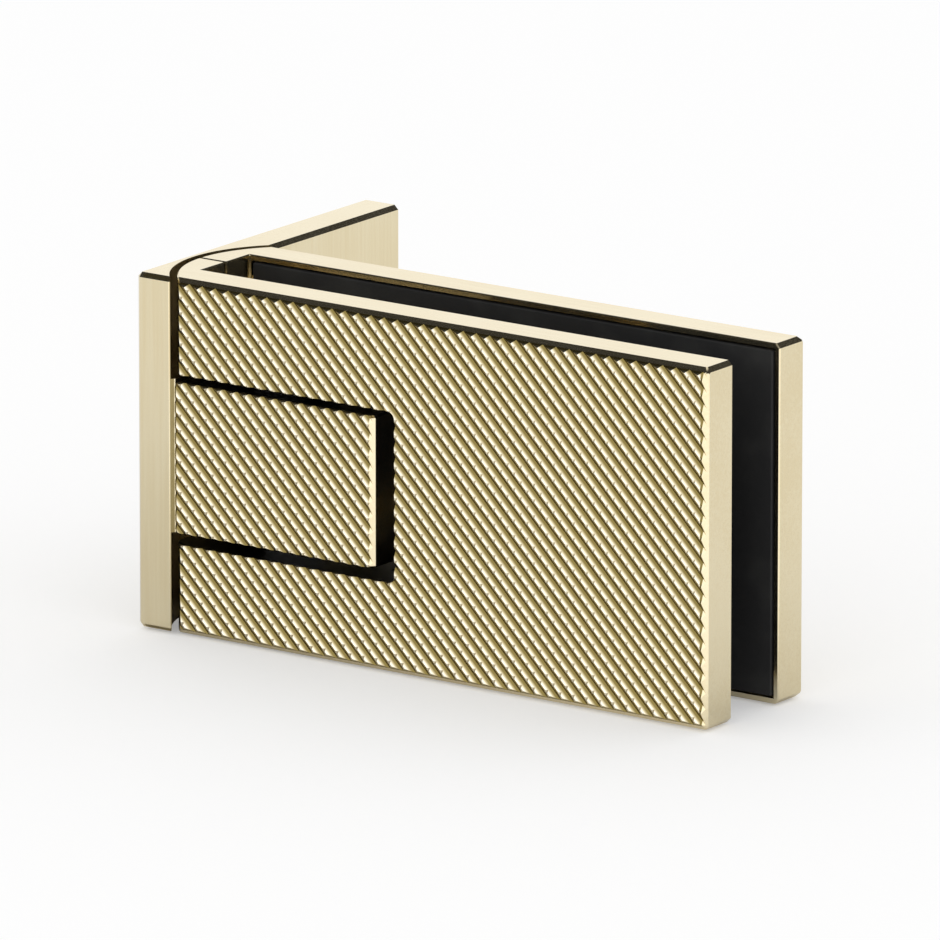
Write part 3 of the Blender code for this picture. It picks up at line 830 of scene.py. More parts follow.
@dataclass
class DiamondKnurl:
    """A knurl of slanting ridges that shallower grooves cross, cut into the front of a plate."""

    name: str
    low: Point
    high: Point
    face: float
    period: float = 2.05 * MM
    depth: float = 0.45 * MM
    crossing: float = 0.4
    inset: float = 0.002 * MM
    backing: float = 24.0 * MM
    merge: float = 0.001 * MM

    def cut_into(self, item: bpy.types.Object, finish: Finish) -> bpy.types.Object:
        """Cut the front of an object down to the knurl.

        Args:
            item: A closed plate whose front lies at the crests of the ridges.
            finish: The finish that it gets.

        Returns:
            The same object.
        """
        width, height = self.high[0] - self.low[0], self.high[1] - self.low[1]
        middle = Vector(((self.low[0] + self.high[0]) / 2, self.face + self.inset + self.depth,
                         (self.low[1] + self.high[1]) / 2))
        pitch = self.period / sqrt(2)
        half_diagonal = (width + height) / sqrt(2) / 2
        tree = GeometryTree(self.name)
        cells = tree.ask("Ridges", "Int", 2 * (int(half_diagonal / pitch) + 2))
        pitch_across = tree.ask("Pitch", "Float", pitch)
        depth = tree.ask("Depth", "Float", self.depth)
        crossing = tree.ask("Share of the crossing grooves", "Float", self.crossing)
        backing = tree.ask("Thickness behind the knurl", "Float", self.backing)
        reach = tree.ask("Half of the field", "Vector",
                         (width / 2 + self.period, 1.0, height / 2 + self.period))
        centre = tree.ask("Middle of the field", "Vector", middle)
        material = tree.ask("Material", "Material", finish.material())
        sheet = self.sheet(tree, cells, pitch_across, depth, crossing)
        slanted = tree.transform(sheet, "Rotation", (0, 0, pi / 4))
        stood = tree.transform(slanted, "Rotation", (pi / 2, 0, 0))
        place = tree.signal("GeometryNodeInputPosition")
        beyond = tree.vector("SUBTRACT", tree.vector("ABSOLUTE", place), reach)
        excess = tree.axis(beyond, 0).larger(tree.axis(beyond, 2))
        outside = tree.signal("FunctionNodeCompare", {"data_type": "FLOAT", "operation": "GREATER_THAN"},
                              {0: excess, 1: 0.0})
        front = tree.signal("GeometryNodeDeleteGeometry", {"domain": "FACE"},
                            {"Geometry": stood, "Selection": outside})
        behind = tree.signal("ShaderNodeCombineXYZ", None, {"Y": backing})
        back = tree.signal("GeometryNodeExtrudeMesh", {"mode": "FACES"},
                           {"Mesh": front, "Offset": behind, "Offset Scale": 1.0, "Individual": False})
        walls = tree.signal("GeometryNodeFlipFaces", None, {"Mesh": back})
        joined = tree.signal("GeometryNodeJoinGeometry", None, {"Geometry": [front, walls]})
        closed = tree.signal("GeometryNodeMergeByDistance", None,
                             {"Geometry": joined, "Distance": self.merge})
        moved = tree.transform(closed, "Translation", centre)
        cut = tree.signal("GeometryNodeMeshBoolean", {"operation": "INTERSECT", "solver": "EXACT"},
                          {1: [tree.given(), moved]})
        tree.finish(cut, material)
        return tree.run(item)

    def sheet(self, tree: GeometryTree, cells: Signal, pitch: Signal, depth: Signal,
              crossing: Signal) -> Signal:
        """Lay out the ridges in the plane, with the crests upwards.

        Args:
            tree: The knurl's tree.
            cells: The number of ridges and of crossing grooves.
            pitch: The distance between them.
            depth: The depth of the main grooves.
            crossing: The depth of the crossing grooves as a share of it.

        Returns:
            The sheet, middle at the origin.
        """
        # Each ridge takes four lines of the grid, and each crossing groove three.
        across, along = 4, 3
        notch = crossing * pitch * 0.5
        grid = tree.signal("GeometryNodeMeshGrid", None, {
            "Size X": cells * across, "Size Y": cells * along,
            "Vertices X": cells * across + 1, "Vertices Y": cells * along + 1})
        place = tree.signal("GeometryNodeInputPosition")
        column = (tree.axis(place, 0) + cells * (across / 2)).rounded()
        row = (tree.axis(place, 1) + cells * (along / 2)).rounded()
        step, line = column.rest(across), row.rest(along)
        ledge = depth * (1.0 - crossing)
        shoulder = pitch * 0.5 - notch
        offset = tree.choose(step, [0.0, shoulder, pitch * 0.5, pitch - shoulder])
        ahead = tree.choose(line, [0.0, notch, pitch - notch])
        crest = tree.choose(line, [ledge, depth, depth])
        height = tree.choose(step, [0.0, ledge, crest, ledge])
        half = cells * pitch * 0.5
        laid = tree.signal("ShaderNodeCombineXYZ", None, {
            "X": (column - step) * (1.0 / across) * pitch + offset - half,
            "Y": (row - line) * (1.0 / along) * pitch + ahead - half, "Z": height})
        shaped = tree.signal("GeometryNodeSetPosition", None, {"Geometry": grid, "Position": laid})
        return tree.signal("GeometryNodeTriangulate", {"quad_method": "LONGEST_DIAGONAL"}, {"Mesh": shaped})


@dataclass
class SocketScrews:
    """Screws with a hexagonal socket, alike and parallel, set at points."""

    name: str
    places: Sequence[Triple]
    direction: Triple
    radius: float
    length: float
    socket: float
    head: float = 0.0
    head_height: float = 0.0
    cone: float = 0.0
    socket_share: float = 0.8
    chamfer: float = 0.25 * MM
    steps: int = 40

    def make(self, finish: Finish) -> bpy.types.Object:
        """Make all the screws as one object.

        Args:
            finish: Their finish.

        Returns:
            The screws.
        """
        mesh = bpy.data.meshes.new(self.name)
        mesh.from_pydata(list(self.places), [], [])
        item = bpy.data.objects.new(self.name, mesh)
        bpy.context.scene.collection.objects.link(item)
        tree = GeometryTree(self.name)
        radius = tree.ask("Radius", "Float", self.radius)
        length = tree.ask("Length", "Float", self.length)
        head = tree.ask("Radius of the head", "Float", max(self.head, self.radius))
        head_height = tree.ask("Height of the head", "Float", self.head_height)
        cone = tree.ask("Height of the cone", "Float", self.cone)
        break_edge = tree.ask("Chamfer", "Float", self.chamfer)
        socket = tree.ask("Radius of the socket's corners", "Float", self.socket / sqrt(3))
        depth = tree.ask("Depth of the socket", "Float", self.socket_share * self.socket)
        turn = tree.ask("Direction", "Vector", Vector(self.direction).to_track_quat("Z", "Y").to_euler())
        material = tree.ask("Material", "Material", finish.material())
        body = self.turn_profile(tree, [
            (head - break_edge, 0.0), (head, break_edge), (head, head_height), (radius, head_height + cone),
            (radius, length - break_edge), (radius - break_edge, length)])
        hexagon = tree.signal("GeometryNodeMeshCone", {"fill_type": "NGON"}, {
            "Vertices": 6, "Radius Top": socket, "Radius Bottom": socket, "Depth": 2.0 * depth})
        below = tree.signal("ShaderNodeCombineXYZ", None, {"Z": 0.0 - depth})
        sunk = tree.transform(hexagon, "Translation", below)
        screw = tree.signal("GeometryNodeMeshBoolean", {"operation": "DIFFERENCE", "solver": "EXACT"},
                            {0: body, 1: [sunk]})
        points = tree.signal("GeometryNodeMeshToPoints", None, {"Mesh": tree.given()})
        copies = tree.signal("GeometryNodeInstanceOnPoints", None,
                             {"Points": points, "Instance": screw, "Rotation": turn})
        tree.finish(copies, material)
        return tree.run(item)

    def turn_profile(self, tree: GeometryTree,
                     profile: Sequence[tuple[Signal | float, Signal | float]]) -> Signal:
        """Turn a profile round the screw's axis, as one closed mesh.

        Args:
            tree: The screw's tree.
            profile: The radius and the depth below the top of each ring of points, from the top down.

        Returns:
            The closed mesh.
        """
        rows = len(profile) - 1
        tube = tree.signal("GeometryNodeMeshCylinder", {"fill_type": "NGON"}, {
            "Vertices": self.steps, "Side Segments": rows, "Radius": 1.0, "Depth": float(rows)})
        place = tree.signal("GeometryNodeInputPosition")
        row = (rows / 2 - tree.axis(place, 2)).rounded()
        wide, deep = (tree.choose(row, [ring[part] for ring in profile]) for part in (0, 1))
        ring = tree.signal("ShaderNodeCombineXYZ", None, {
            "X": tree.axis(place, 0) * wide, "Y": tree.axis(place, 1) * wide, "Z": 0.0 - deep})
        return tree.signal("GeometryNodeSetPosition", None, {"Geometry": tube, "Position": ring})


@dataclass(frozen=True)
class Layout:
    """The sizes that the pieces share."""

    height: float = 47.0 * MM
    thickness: float = 22.0 * MM
    wall_plate: float = 5.8 * MM
    fit: float = 0.3 * MM
    open_clearance: float = 0.2 * MM
    leaf_gap: float = 1.15 * MM
    knuckle_top: float = 9.8 * MM
    knuckle_bottom: float = -10.2 * MM
    knuckle_reach: float = 20.4 * MM
    pin_square: float = 5.6 * MM
    pin_ease: float = 0.04 * MM
    cam_wall: float = 1.3 * MM
    edge: float = 0.6 * MM
    broken_edge: float = 0.15 * MM
    corner_chamfer: float = 0.7 * MM

    @property
    def half_height(self) -> float:
        """Half the height of the hinge."""
        return self.height / 2

    @property
    def half(self) -> float:
        """Half the thickness of the clamp."""
        return self.thickness / 2

    @property
    def pin_x(self) -> float:
        """Where the pin stands in front of the wall."""
        return self.wall_plate + self.half + self.open_clearance

    @property
    def leg_radius(self) -> float:
        """The radius of the round end of the clamp's legs about the pin."""
        return hypot(self.half, self.half + self.open_clearance - self.leaf_gap)

    @property
    def journal_bore(self) -> float:
        """The radius of the bore that the pin turns in."""
        return self.pin_square / sqrt(2) + self.pin_ease + self.fit

    @property
    def cam_radius(self) -> float:
        """The outer radius of the cams."""
        return self.journal_bore + self.cam_wall


LAYOUT = Layout()


@dataclass
class WallPlate:
    """The plate on the wall, with its recesses, its screw holes and the screws that hold the knuckle."""

    layout: Layout = LAYOUT
    rear: float = 39.0 * MM
    recess_clearance: float = 1.0 * MM
    recess_steps: int = 160
    hole: float = 2.5 * MM
    hole_head: float = 4.8 * MM
    hole_rows: tuple[float, float] = (31.0 * MM, 18.5 * MM)
    hole_height: float = 11.0 * MM
    hole_steps: int = 48
    screw: float = 2.0 * MM
    screw_socket: float = 3.0 * MM
    screw_hole_steps: int = 40
    screw_head: float = 3.5 * MM
    screw_floor: float = 1.6 * MM
    screw_place: Point = (6.5 * MM, 6.0 * MM)
    screw_centre: float = -0.2 * MM
    screw_length: float = 9.63 * MM

    def screw_places(self) -> list[Triple]:
        """The corners of the knuckle's screw pattern.

        Returns:
            The tops of the heads.
        """
        across, up = self.screw_place
        return [(self.layout.fit, side * across, end * up + self.screw_centre)
                for end in (-1, 1) for side in (-1, 1)]

    def head_height(self) -> float:
        """The height of a knuckle screw's head."""
        return self.layout.wall_plate - self.screw_floor - 2 * self.layout.fit

    def screw_hole(self, place: Triple) -> bpy.types.Object:
        """The stepped hole of a knuckle screw.

        Args:
            place: The top of the screw's head.

        Returns:
            The cutter.
        """
        fit = self.layout.fit
        wide, narrow, step = self.screw_head + fit, self.screw + fit, self.head_height() + fit
        profile = [(wide, MM), (wide, -step), (narrow, -step), (narrow, -self.screw_length - fit)]
        return turned("knuckle_screw_hole", profile, self.screw_hole_steps, place, (-1, 0, 0))

    def make(self) -> None:
        """Make the plate and its screws."""
        layout = self.layout
        plate = block("hinge_wall_plate", (0, -layout.half, -layout.half_height),
                      (layout.wall_plate, self.rear, layout.half_height))
        chamfer(plate, layout.edge)
        radius = layout.leg_radius + self.recess_clearance
        end = layout.half_height + MM
        cutters = []
        for low, high in ((layout.knuckle_top + layout.fit, end), (-end, layout.knuckle_bottom)):
            cutters.append(turned("leg_recess", [(radius, low), (radius, high)], self.recess_steps,
                                  (layout.pin_x, 0, 0)))
        through, cone = layout.wall_plate + MM, self.hole_head - self.hole
        profile = [(self.hole_head, MM), (self.hole_head, 0), (self.hole, -cone), (self.hole, -through)]
        for across in self.hole_rows:
            for side in (-1, 1):
                place = (layout.wall_plate, across, side * self.hole_height)
                cutters.append(turned("wall_hole", profile, self.hole_steps, place, (1, 0, 0)))
        places = self.screw_places()
        cutters += [self.screw_hole(place) for place in places]
        shape_with(plate, Join.CUT, cutters)
        dress(plate, BRUSHED_UPRIGHT, Body.WALL_SIDE, ["wall_plate"])
        screws = SocketScrews("hinge_knuckle_screws", places, (-1, 0, 0), self.screw, self.screw_length,
                              self.screw_socket, self.screw_head, self.head_height())
        dress(screws.make(STAINLESS), STAINLESS, Body.WALL_SIDE,
              numbered("knuckle_screw", len(places)))


@dataclass
class Knuckle:
    """The knurled tongue that holds the pin, with the screws that lock the fixed cam."""

    layout: Layout = LAYOUT
    plate: WallPlate = field(default_factory=WallPlate)
    bore_steps: int = 72
    seat: float = -3.0 * MM
    shoulder: float = -6.0 * MM
    lock_radius: float = 1.5 * MM
    lock_socket: float = 1.5 * MM
    lock_hole_steps: int = 32
    lock_across: float = 2.8 * MM
    lock_level: float = 0.85 * MM
    lock_sink: float = 0.6 * MM

    def make(self) -> None:
        """Make the knuckle and its lock screws."""
        layout = self.layout
        left, right = layout.wall_plate + layout.fit, layout.pin_x + layout.knuckle_reach
        half, cut = layout.half, layout.corner_chamfer
        outline = [(left, -half), (right - cut, -half), (right, cut - half), (right, half - cut),
                   (right - cut, half), (left, half)]
        piece = prism("hinge_knuckle", outline, layout.knuckle_bottom, layout.knuckle_top)
        chamfer(piece, layout.edge / 2)
        wide, narrow = layout.cam_radius + layout.fit, layout.journal_bore
        over, under = layout.knuckle_top + MM, layout.knuckle_bottom - MM
        bore = [(wide, over), (wide, self.seat), (narrow, self.seat), (narrow, self.shoulder),
                (wide, self.shoulder), (wide, under)]
        lock_hole = [(self.lock_radius + layout.fit, half + MM), (self.lock_radius + layout.fit, 0)]
        cutters = [turned("knuckle_bore", bore, self.bore_steps, (layout.pin_x, 0, 0))]
        cutters += [self.plate.screw_hole(place) for place in self.plate.screw_places()]
        across = [layout.pin_x + side * self.lock_across for side in (-1, 1)]
        cutters += [turned("lock_hole", lock_hole, self.lock_hole_steps, (x, 0, self.lock_level), (0, 1, 0))
                    for x in across]
        shape_with(piece, Join.CUT, cutters)
        knurl = DiamondKnurl("knuckle_knurl", (left, layout.knuckle_bottom), (right, layout.knuckle_top),
                             -half)
        knurl.cut_into(piece, KNURLED_TONGUE)
        dress(piece, KNURLED_TONGUE, Body.WALL_SIDE, ["knuckle"])
        places = [(x, half - self.lock_sink, self.lock_level) for x in across]
        length = half - self.lock_sink - wide
        screws = SocketScrews("hinge_cam_lock_screws", places, (0, 1, 0), self.lock_radius, length,
                              self.lock_socket, head_height=length / 3, cone=length / 3)
        dress(screws.make(STAINLESS), STAINLESS, Body.WALL_SIDE,
              numbered("cam_lock_screw", len(places)))


@dataclass
class GlassClamp:
    """Two plates that grip the glass through gaskets, drawn together by countersunk screws."""

    layout: Layout = LAYOUT
    reach: float = 72.0 * MM
    leg_steps: int = 14
    long_edge: float = 1.0 * MM
    corner: float = 1.0 * MM
    inner: float = 5.2 * MM
    mating_gap: float = 0.15 * MM
    stop: float = -10.8 * MM
    cut_top: float = 10.8 * MM
    cut_bottom: float = -11.7 * MM
    hub_top: float = 19.7 * MM
    hub_reach: float = 19.34 * MM
    pocket_end: float = 18.7 * MM
    pocket_steps: int = 24
    boss: float = 6.0 * MM
    boss_place: Point = (33.0 * MM, 9.5 * MM)
    boss_steps: int = 56
    leg_screw_x: float = 13.84 * MM
    screw: float = 2.0 * MM
    screw_socket: float = 2.5 * MM
    screw_hole_steps: int = 48
    screw_head: float = 3.8 * MM
    screw_land: float = 0.3 * MM
    screw_sink: float = 0.2 * MM
    screw_cover: float = 3.0 * MM
    gasket: float = 1.0 * MM
    gasket_face: float = 5.0 * MM
    gasket_rim: float = 0.7 * MM
    gasket_left: float = -10.2 * MM
    notch_top: float = 20.0 * MM
    notch_right: float = 44.0 * MM
    keyed_flat: float = 0.6 * MM
    swing_gap: float = 0.5 * MM

    def cut_right(self) -> float:
        """Where the cut-out round the knuckle ends, from the pin."""
        return hypot(self.layout.knuckle_reach, self.layout.half) + self.swing_gap

    def section(self, face: Face) -> list[Point]:
        """The plan of a plate, whose leg's round end wraps the edge of the glass.

        Args:
            face: The plate.

        Returns:
            Its outline.
        """
        layout, radius = self.layout, self.layout.leg_radius
        start, end = asin(self.mating_gap / radius), asin(layout.half / radius)
        leg = [(-x, y) for x, y in arc((0, 0), radius, start, end, self.leg_steps)]
        cut = layout.corner_chamfer
        rest = [(self.reach - cut, layout.half), (self.reach, layout.half - cut), (self.reach, self.inner),
                (self.stop, self.inner), (self.stop, self.mating_gap)]
        return [(layout.pin_x + x, face.value * y) for x, y in leg + rest]

    def elevation(self) -> list[Point]:
        """The clamp seen from the front: a C round the knuckle, with its outer corners chamfered.

        Returns:
            Its outline.
        """
        layout, radius, edge = self.layout, self.corner, self.layout.edge
        left = layout.pin_x - layout.leg_radius - MM
        right, cut = layout.pin_x + self.reach, layout.pin_x + self.cut_right() - radius
        top = layout.half_height
        points = [(left, top), (right - edge, top), (right, top - edge), (right, edge - top),
                  (right - edge, -top), (left, -top), (left, self.cut_bottom)]
        points += arc((cut, self.cut_bottom + radius), radius, -pi / 2, 0)
        points += arc((cut, self.cut_top - radius), radius, 0, pi / 2)
        return points + [(left, self.cut_top)]

    def end_view(self) -> list[Point]:
        """The clamp seen from its end, with its four long edges chamfered.

        Returns:
            Its outline.
        """
        side, top, cut = self.layout.half, self.layout.half_height, self.long_edge
        quarter = [(side, top - cut), (side - cut, top)]
        half = quarter + [(-y, z) for y, z in reversed(quarter)]
        return half + [(-y, -z) for y, z in half]

    def gasket_outline(self, margin: float) -> list[Point]:
        """The gasket's C round the notch in the glass, or its pocket with a margin.

        Args:
            margin: What the outline gains all round.

        Returns:
            The outline seen from the front.
        """
        layout = self.layout
        left = layout.pin_x + self.gasket_left - margin
        right = layout.pin_x + self.reach - self.gasket_rim - layout.fit + margin
        outer = layout.half_height - self.gasket_rim - layout.fit + margin
        inner = self.notch_top + layout.fit - margin
        notch = layout.pin_x + self.notch_right + layout.fit - margin
        return [(left, outer), (right, outer), (right, -outer), (left, -outer), (left, -inner),
                (notch, -inner), (notch, inner), (left, inner)]

    def screw_places(self) -> list[Triple]:
        """Where the screws stand: two in the legs and two in the bosses.

        Returns:
            The tops of their heads.
        """
        layout = self.layout
        level = layout.half - self.screw_sink
        leg = layout.pin_x + self.leg_screw_x
        upper, lower = (self.cut_top + self.hub_top) / 2, (self.cut_bottom - self.hub_top) / 2
        boss, boss_z = layout.pin_x + self.boss_place[0], self.boss_place[1]
        return [(leg, level, upper), (leg, level, lower), (boss, level, boss_z), (boss, level, -boss_z)]

    def screw_length(self) -> float:
        """The length of a clamp screw."""
        return self.layout.thickness - self.screw_sink - self.screw_cover - self.layout.fit

    def pocket(self, low: float, high: float) -> bpy.types.Object:
        """The pocket of a cam or a bush, with its two flats.

        Args:
            low: Its lower end.
            high: Its upper end.

        Returns:
            The cutter.
        """
        layout = self.layout
        centre, radius = (layout.pin_x, 0), layout.cam_radius + layout.fit
        corner = asin((radius - self.keyed_flat) / radius)
        outline = arc(centre, radius, -corner, corner, self.pocket_steps)
        outline += arc(centre, radius, pi - corner, pi + corner, self.pocket_steps)
        return prism("pin_pocket", outline, low, high)

    def cutters(self) -> list[bpy.types.Object]:
        """The pockets of the pin and the holes of the screws.

        Returns:
            Their cutters.
        """
        fit, land = self.layout.fit, -self.screw_land
        cone = land - (self.screw_head - self.screw)
        end = -self.screw_length() - fit
        profile = [(self.screw_head + fit, MM), (self.screw_head + fit, land), (self.screw + fit, cone),
                   (self.screw + fit, end)]
        tools = [turned("clamp_screw_hole", profile, self.screw_hole_steps, place, (0, 1, 0))
                 for place in self.screw_places()]
        tools.append(self.pocket(self.cut_top - MM, self.pocket_end))
        tools.append(self.pocket(-self.pocket_end, self.cut_bottom + MM))
        return tools

    def plate(self, face: Face) -> bpy.types.Object:
        """Make one plate, plain on its outer face.

        Args:
            face: The plate.

        Returns:
            The plate.
        """
        layout, sign = self.layout, face.value
        label = face.name.lower()
        piece = prism(f"hinge_{label}_plate", self.section(face), -layout.half_height, layout.half_height)
        outline = prism("elevation", self.elevation(), -layout.thickness, layout.thickness, Plane.FRONT)
        near, far = sorted((sign * self.mating_gap, sign * (self.inner + MM)))
        hub_left, hub_right = layout.pin_x + self.stop - MM, layout.pin_x + self.hub_reach
        hubs = [block("upper_hub", (hub_left, near, self.cut_top - MM), (hub_right, far, self.hub_top)),
                block("lower_hub", (hub_left, near, -self.hub_top), (hub_right, far, self.cut_bottom + MM))]
        shape_with(piece, Join.ADD, hubs)
        ends = prism("end_view", self.end_view(), 0, 2 * self.reach, Plane.SIDE)
        chamfer(shape_with(piece, Join.KEEP, [outline, ends]), layout.broken_edge)
        boss_x, boss_z = layout.pin_x + self.boss_place[0], self.boss_place[1]
        shape_with(piece, Join.ADD, [
            turned("boss", [(self.boss, 0), (self.boss, far - near)], self.boss_steps,
                   (boss_x, near, up * boss_z), (0, 1, 0)) for up in (-1, 1)])
        floor, mouth = sign * (self.gasket_face + self.gasket + layout.fit), sign * (self.inner - MM)
        low, high = sorted((floor, mouth))
        seat = prism("gasket_seat", self.gasket_outline(layout.fit), low, high, Plane.FRONT)
        return shape_with(piece, Join.CUT, [seat] + self.cutters())

    def make(self) -> None:
        """Make the plates, the gaskets and the screws."""
        layout = self.layout
        for face in Face:
            label = face.name.lower()
            plate = self.plate(face)
            finish: Finish = BRUSHED_ALONG
            if face is Face.FRONT:
                finish = KNURLED_PLATE
                left, right = layout.pin_x - layout.leg_radius, layout.pin_x + self.reach
                knurl = DiamondKnurl("front_plate_knurl", (left, -layout.half_height),
                                     (right, layout.half_height), -layout.half)
                knurl.cut_into(plate, finish)
            dress(plate, finish, Body.DOOR_SIDE, [f"{label}_plate"])
            low, high = sorted(face.value * y for y in (self.gasket_face, self.gasket_face + self.gasket))
            gasket = prism(f"hinge_{label}_gasket", self.gasket_outline(0), low, high, Plane.FRONT)
            chamfer(gasket, layout.broken_edge)
            dress(gasket, BLACK_RUBBER, Body.DOOR_SIDE, [f"{label}_gasket"])
        places = self.screw_places()
        screws = SocketScrews("hinge_clamp_screws", places, (0, 1, 0), self.screw, self.screw_length(),
                              self.screw_socket, self.screw_head, self.screw_land,
                              self.screw_head - self.screw)
        dress(screws.make(STAINLESS), STAINLESS, Body.DOOR_SIDE,
              numbered("clamp_screw", len(places)))


@dataclass
class Mechanism:
    """The pin, cams, bush and ring, whose solids keep their shapes."""

    finishes: dict[str, Finish] = field(default_factory=lambda: {
        "pivot_pin": STAINLESS, "retaining_ring": STAINLESS, "fixed_cam": HARDENED,
        "moving_cam": HARDENED, "lower_guide_bush": HARDENED})

    def make(self) -> None:
        """Give each solid its finish."""
        for name, finish in self.finishes.items():
            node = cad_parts[name]
            node.data.materials.clear()
            node.data.materials.append(finish.material())
            log.info("%s: finished as %s", name, finish.name)


@dataclass(frozen=True)
class RoomPart:
    """A part of the mirrored room about one direction.

    Its soft edge lies between two cosines of the angle to that direction.
    """

    direction: Triple
    outer: float
    inner: float

    def share(self, nodes: Nodes, way: Signal) -> Signal:
        """How far a way lies in this part of the room."""
        cosine = nodes.vector("DOT_PRODUCT", way, self.direction, output="Value")
        return cosine.ramp(self.outer, self.inner)


@dataclass
class Studio:
    """A pale floor with a painted reflection glow that only the metal sees, brighter on the right, with
    soft light and the camera.

    Heights in the mirrored room are sines of the angle above the horizon.
    """

    target: Triple = (38.7 * MM, 8.5 * MM, -1.0 * MM)
    camera_place: Triple = (1207.7 * MM, -1624.5 * MM, 512.0 * MM)
    lens: float = 620.0
    sensor: float = 36.0
    clip: Point = (0.01, 50.0)
    floor_level: float = -23.8 * MM
    floor_half: float = 4.0
    floor_paint: float = 0.8
    floor_glow: float = 0.3
    floor_shine: float = 0.16
    shine_from: Point = (40.0 * MM, 200.0 * MM)
    floor_shine_right: float = 0.4
    shine_right: Point = (0.0, 80.0 * MM)
    shine_ahead: Point = (0.0, -30.0 * MM)
    white: float = 1.0
    ambient: float = 0.85
    dark: float = 0.03
    backdrop_top: Point = (0.3, 0.5)
    front: RoomPart = RoomPart((0.3, -0.954, 0.0), -0.1, 0.5)
    front_dim: float = 0.85
    front_lit_from: Point = (0.12, 0.3)
    front_lit: float = 0.5
    left: RoomPart = RoomPart((-0.97, -0.2, 0.12), 0.6, 0.95)
    left_dim: float = 0.6
    behind: RoomPart = RoomPart((-0.574, 0.819, 0.0), -0.1, 0.2)
    sideways: Triple = (0.819, 0.574, 0.0)
    sideways_edge: Point = (0.3, 0.45)
    zenith: Point = (0.9, 0.98)
    sky: float = 0.8
    key_power: float = 0.6
    key_size: float = 0.7
    key_distance: float = 1.4
    key_direction: Triple = (0.17, -0.863, 0.477)
    key_edge: Point = (0.86, 0.96)
    key_glow: float = 0.81

    def camera(self) -> None:
        """Look from the photograph's direction, from far off through a long lens."""
        data = bpy.data.cameras.new("camera")
        data.lens = self.lens
        data.sensor_width = self.sensor
        data.clip_start, data.clip_end = self.clip
        camera = bpy.data.objects.new("camera", data)
        bpy.context.scene.collection.objects.link(camera)
        camera.location = self.camera_place
        look = Vector(self.target) - Vector(self.camera_place)
        camera.rotation_euler = look.to_track_quat("-Z", "Y").to_euler()
        bpy.context.scene.camera = camera

    def floor(self) -> None:
        """Lay a pale floor that shows white and keeps the shadow, and that glows only in the metal's
        reflections as a painted reflection.
        """
        shape = bmesh.new()
        bmesh.ops.create_grid(shape, x_segments=1, y_segments=1, size=self.floor_half)
        bmesh.ops.translate(shape, vec=(0, 0, self.floor_level), verts=shape.verts)
        floor = from_bmesh("studio_floor", shape)
        material = bpy.data.materials.new("studio_floor")
        material.use_nodes = True
        nodes = ShaderNodes(material.node_tree)
        paths = nodes.node("ShaderNodeLightPath")
        camera = Signal(nodes, paths.outputs["Is Camera Ray"])
        glossy = Signal(nodes, paths.outputs["Is Glossy Ray"])
        place = nodes.place()
        # Painted reflection: for glossy rays only, the floor glows more to the right front and further off.
        right = nodes.axis(place, 0).ramp(*self.shine_right) * nodes.axis(place, 1).ramp(*self.shine_ahead)
        away = nodes.vector("LENGTH", place, output="Value").ramp(*self.shine_from)
        shine = away * self.floor_shine + right * self.floor_shine_right
        pale = (self.floor_paint, self.floor_paint, self.floor_paint, 1.0)
        paint = nodes.signal("ShaderNodeBsdfDiffuse", None, {"Color": pale})
        glow = nodes.signal("ShaderNodeEmission", None, {
            "Color": (1.0, 1.0, 1.0, 1.0), "Strength": camera * self.floor_glow + glossy * shine})
        both = nodes.signal("ShaderNodeAddShader", None, {0: paint, 1: glow})
        nodes.node("ShaderNodeOutputMaterial", None, {"Surface": both})
        floor.data.materials.append(material)

    def mirrored_room(self, nodes: Nodes, way: Signal) -> Signal:
        """The room that the metal mirrors: a backdrop, a dim front and left, a soft key and a strip of sky.

        Args:
            nodes: The world's tree.
            way: The way that a ray leaves in.

        Returns:
            How bright the room is there.
        """
        height = nodes.axis(way, 2)
        over = height.ramp(*self.backdrop_top)
        lit = height.ramp(*self.front_lit_from) * self.front_lit
        front = self.front.share(nodes, way) * (1.0 - lit) * self.front_dim
        left = self.left.share(nodes, way) * self.left_dim
        backdrop = (1.0 - over) * (1.0 - front) * (1.0 - left)
        key = RoomPart(self.key_direction, *self.key_edge).share(nodes, way)
        aside = nodes.vector("DOT_PRODUCT", way, self.sideways, output="Value").size()
        strip = self.behind.share(nodes, way) * (1.0 - aside.ramp(*self.sideways_edge))
        sky = over * strip.larger(height.ramp(*self.zenith))
        return self.dark + backdrop + key * self.key_glow + sky * self.sky

    def world(self) -> None:
        """Show the camera a white backdrop, the metal the room, and everything else an even light."""
        world = bpy.data.worlds.new("studio")
        bpy.context.scene.world = world
        world.use_nodes = True
        nodes = ShaderNodes(world.node_tree)
        way = nodes.vector("NORMALIZE", nodes.signal("ShaderNodeTexCoord", output="Generated"))
        paths = nodes.node("ShaderNodeLightPath")
        camera = Signal(nodes, paths.outputs["Is Camera Ray"])
        glossy = Signal(nodes, paths.outputs["Is Glossy Ray"])
        room = self.mirrored_room(nodes, way)
        level = camera * self.white + (1.0 - camera) * (glossy * room + (1.0 - glossy) * self.ambient)
        sky = nodes.signal("ShaderNodeBackground", None, {"Color": (1.0, 1.0, 1.0, 1.0), "Strength": level})
        nodes.node("ShaderNodeOutputWorld", None, {"Surface": sky})

    def key_light(self) -> None:
        """Hang one large soft light in front of the hinge and above it."""
        data = bpy.data.lights.new("key", "AREA")
        data.energy = self.key_power
        data.size = self.key_size
        light = bpy.data.objects.new("key", data)
        bpy.context.scene.collection.objects.link(light)
        away = Vector(self.key_direction)
        light.location = Vector(self.target) + away * self.key_distance
        light.rotation_euler = (-away).to_track_quat("-Z", "Y").to_euler()

    def make(self) -> None:
        """Set up the floor, the world, the light and the camera."""
        bpy.context.scene.view_settings.view_transform = "Standard"
        self.floor()
        self.world()
        self.key_light()
        self.camera()


def corners(bounds: tuple[Vector, Vector]) -> list[list[float]]:
    """A box as plain lists of numbers."""
    return [list(corner) for corner in bounds]


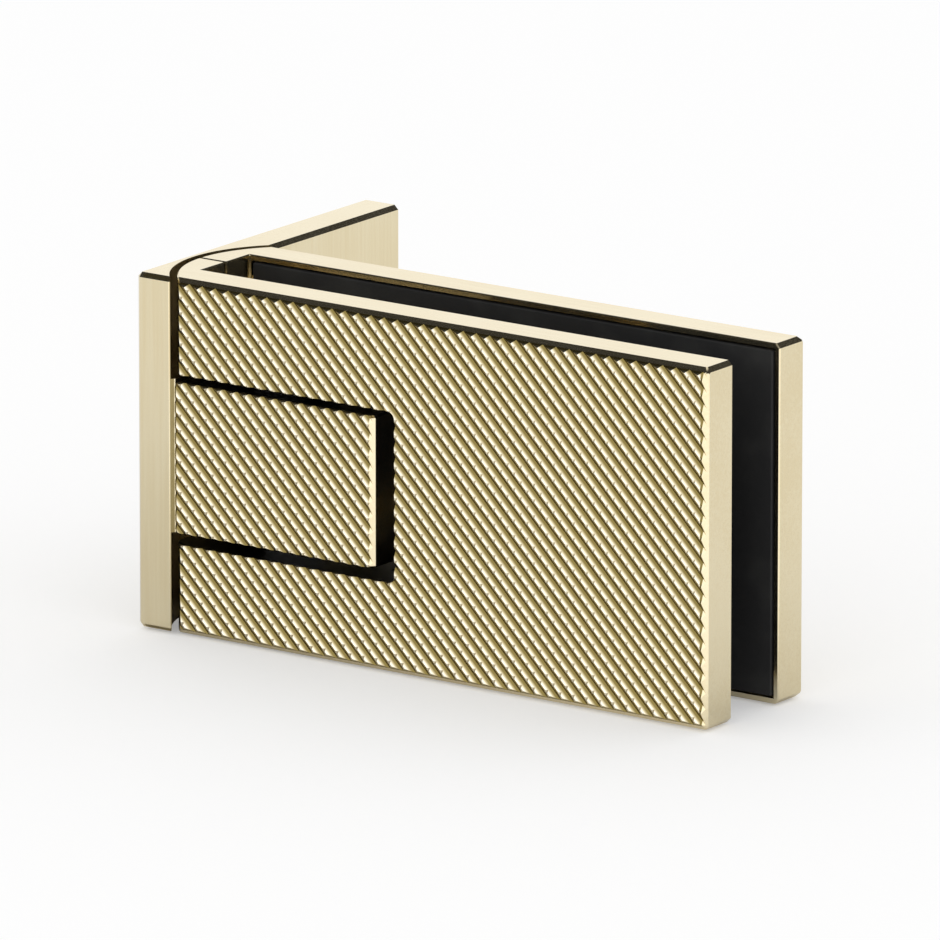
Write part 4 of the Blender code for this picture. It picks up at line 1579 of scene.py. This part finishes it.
def main() -> None:
    """Dress the hinge and set up the studio."""
    logging.basicConfig(level=logging.INFO, format="%(name)s: %(message)s")
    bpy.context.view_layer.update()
    for assembly in (Studio(), WallPlate(), Knuckle(), GlassClamp(), Mechanism()):
        assembly.make()


if __name__ == "__main__":
    main()
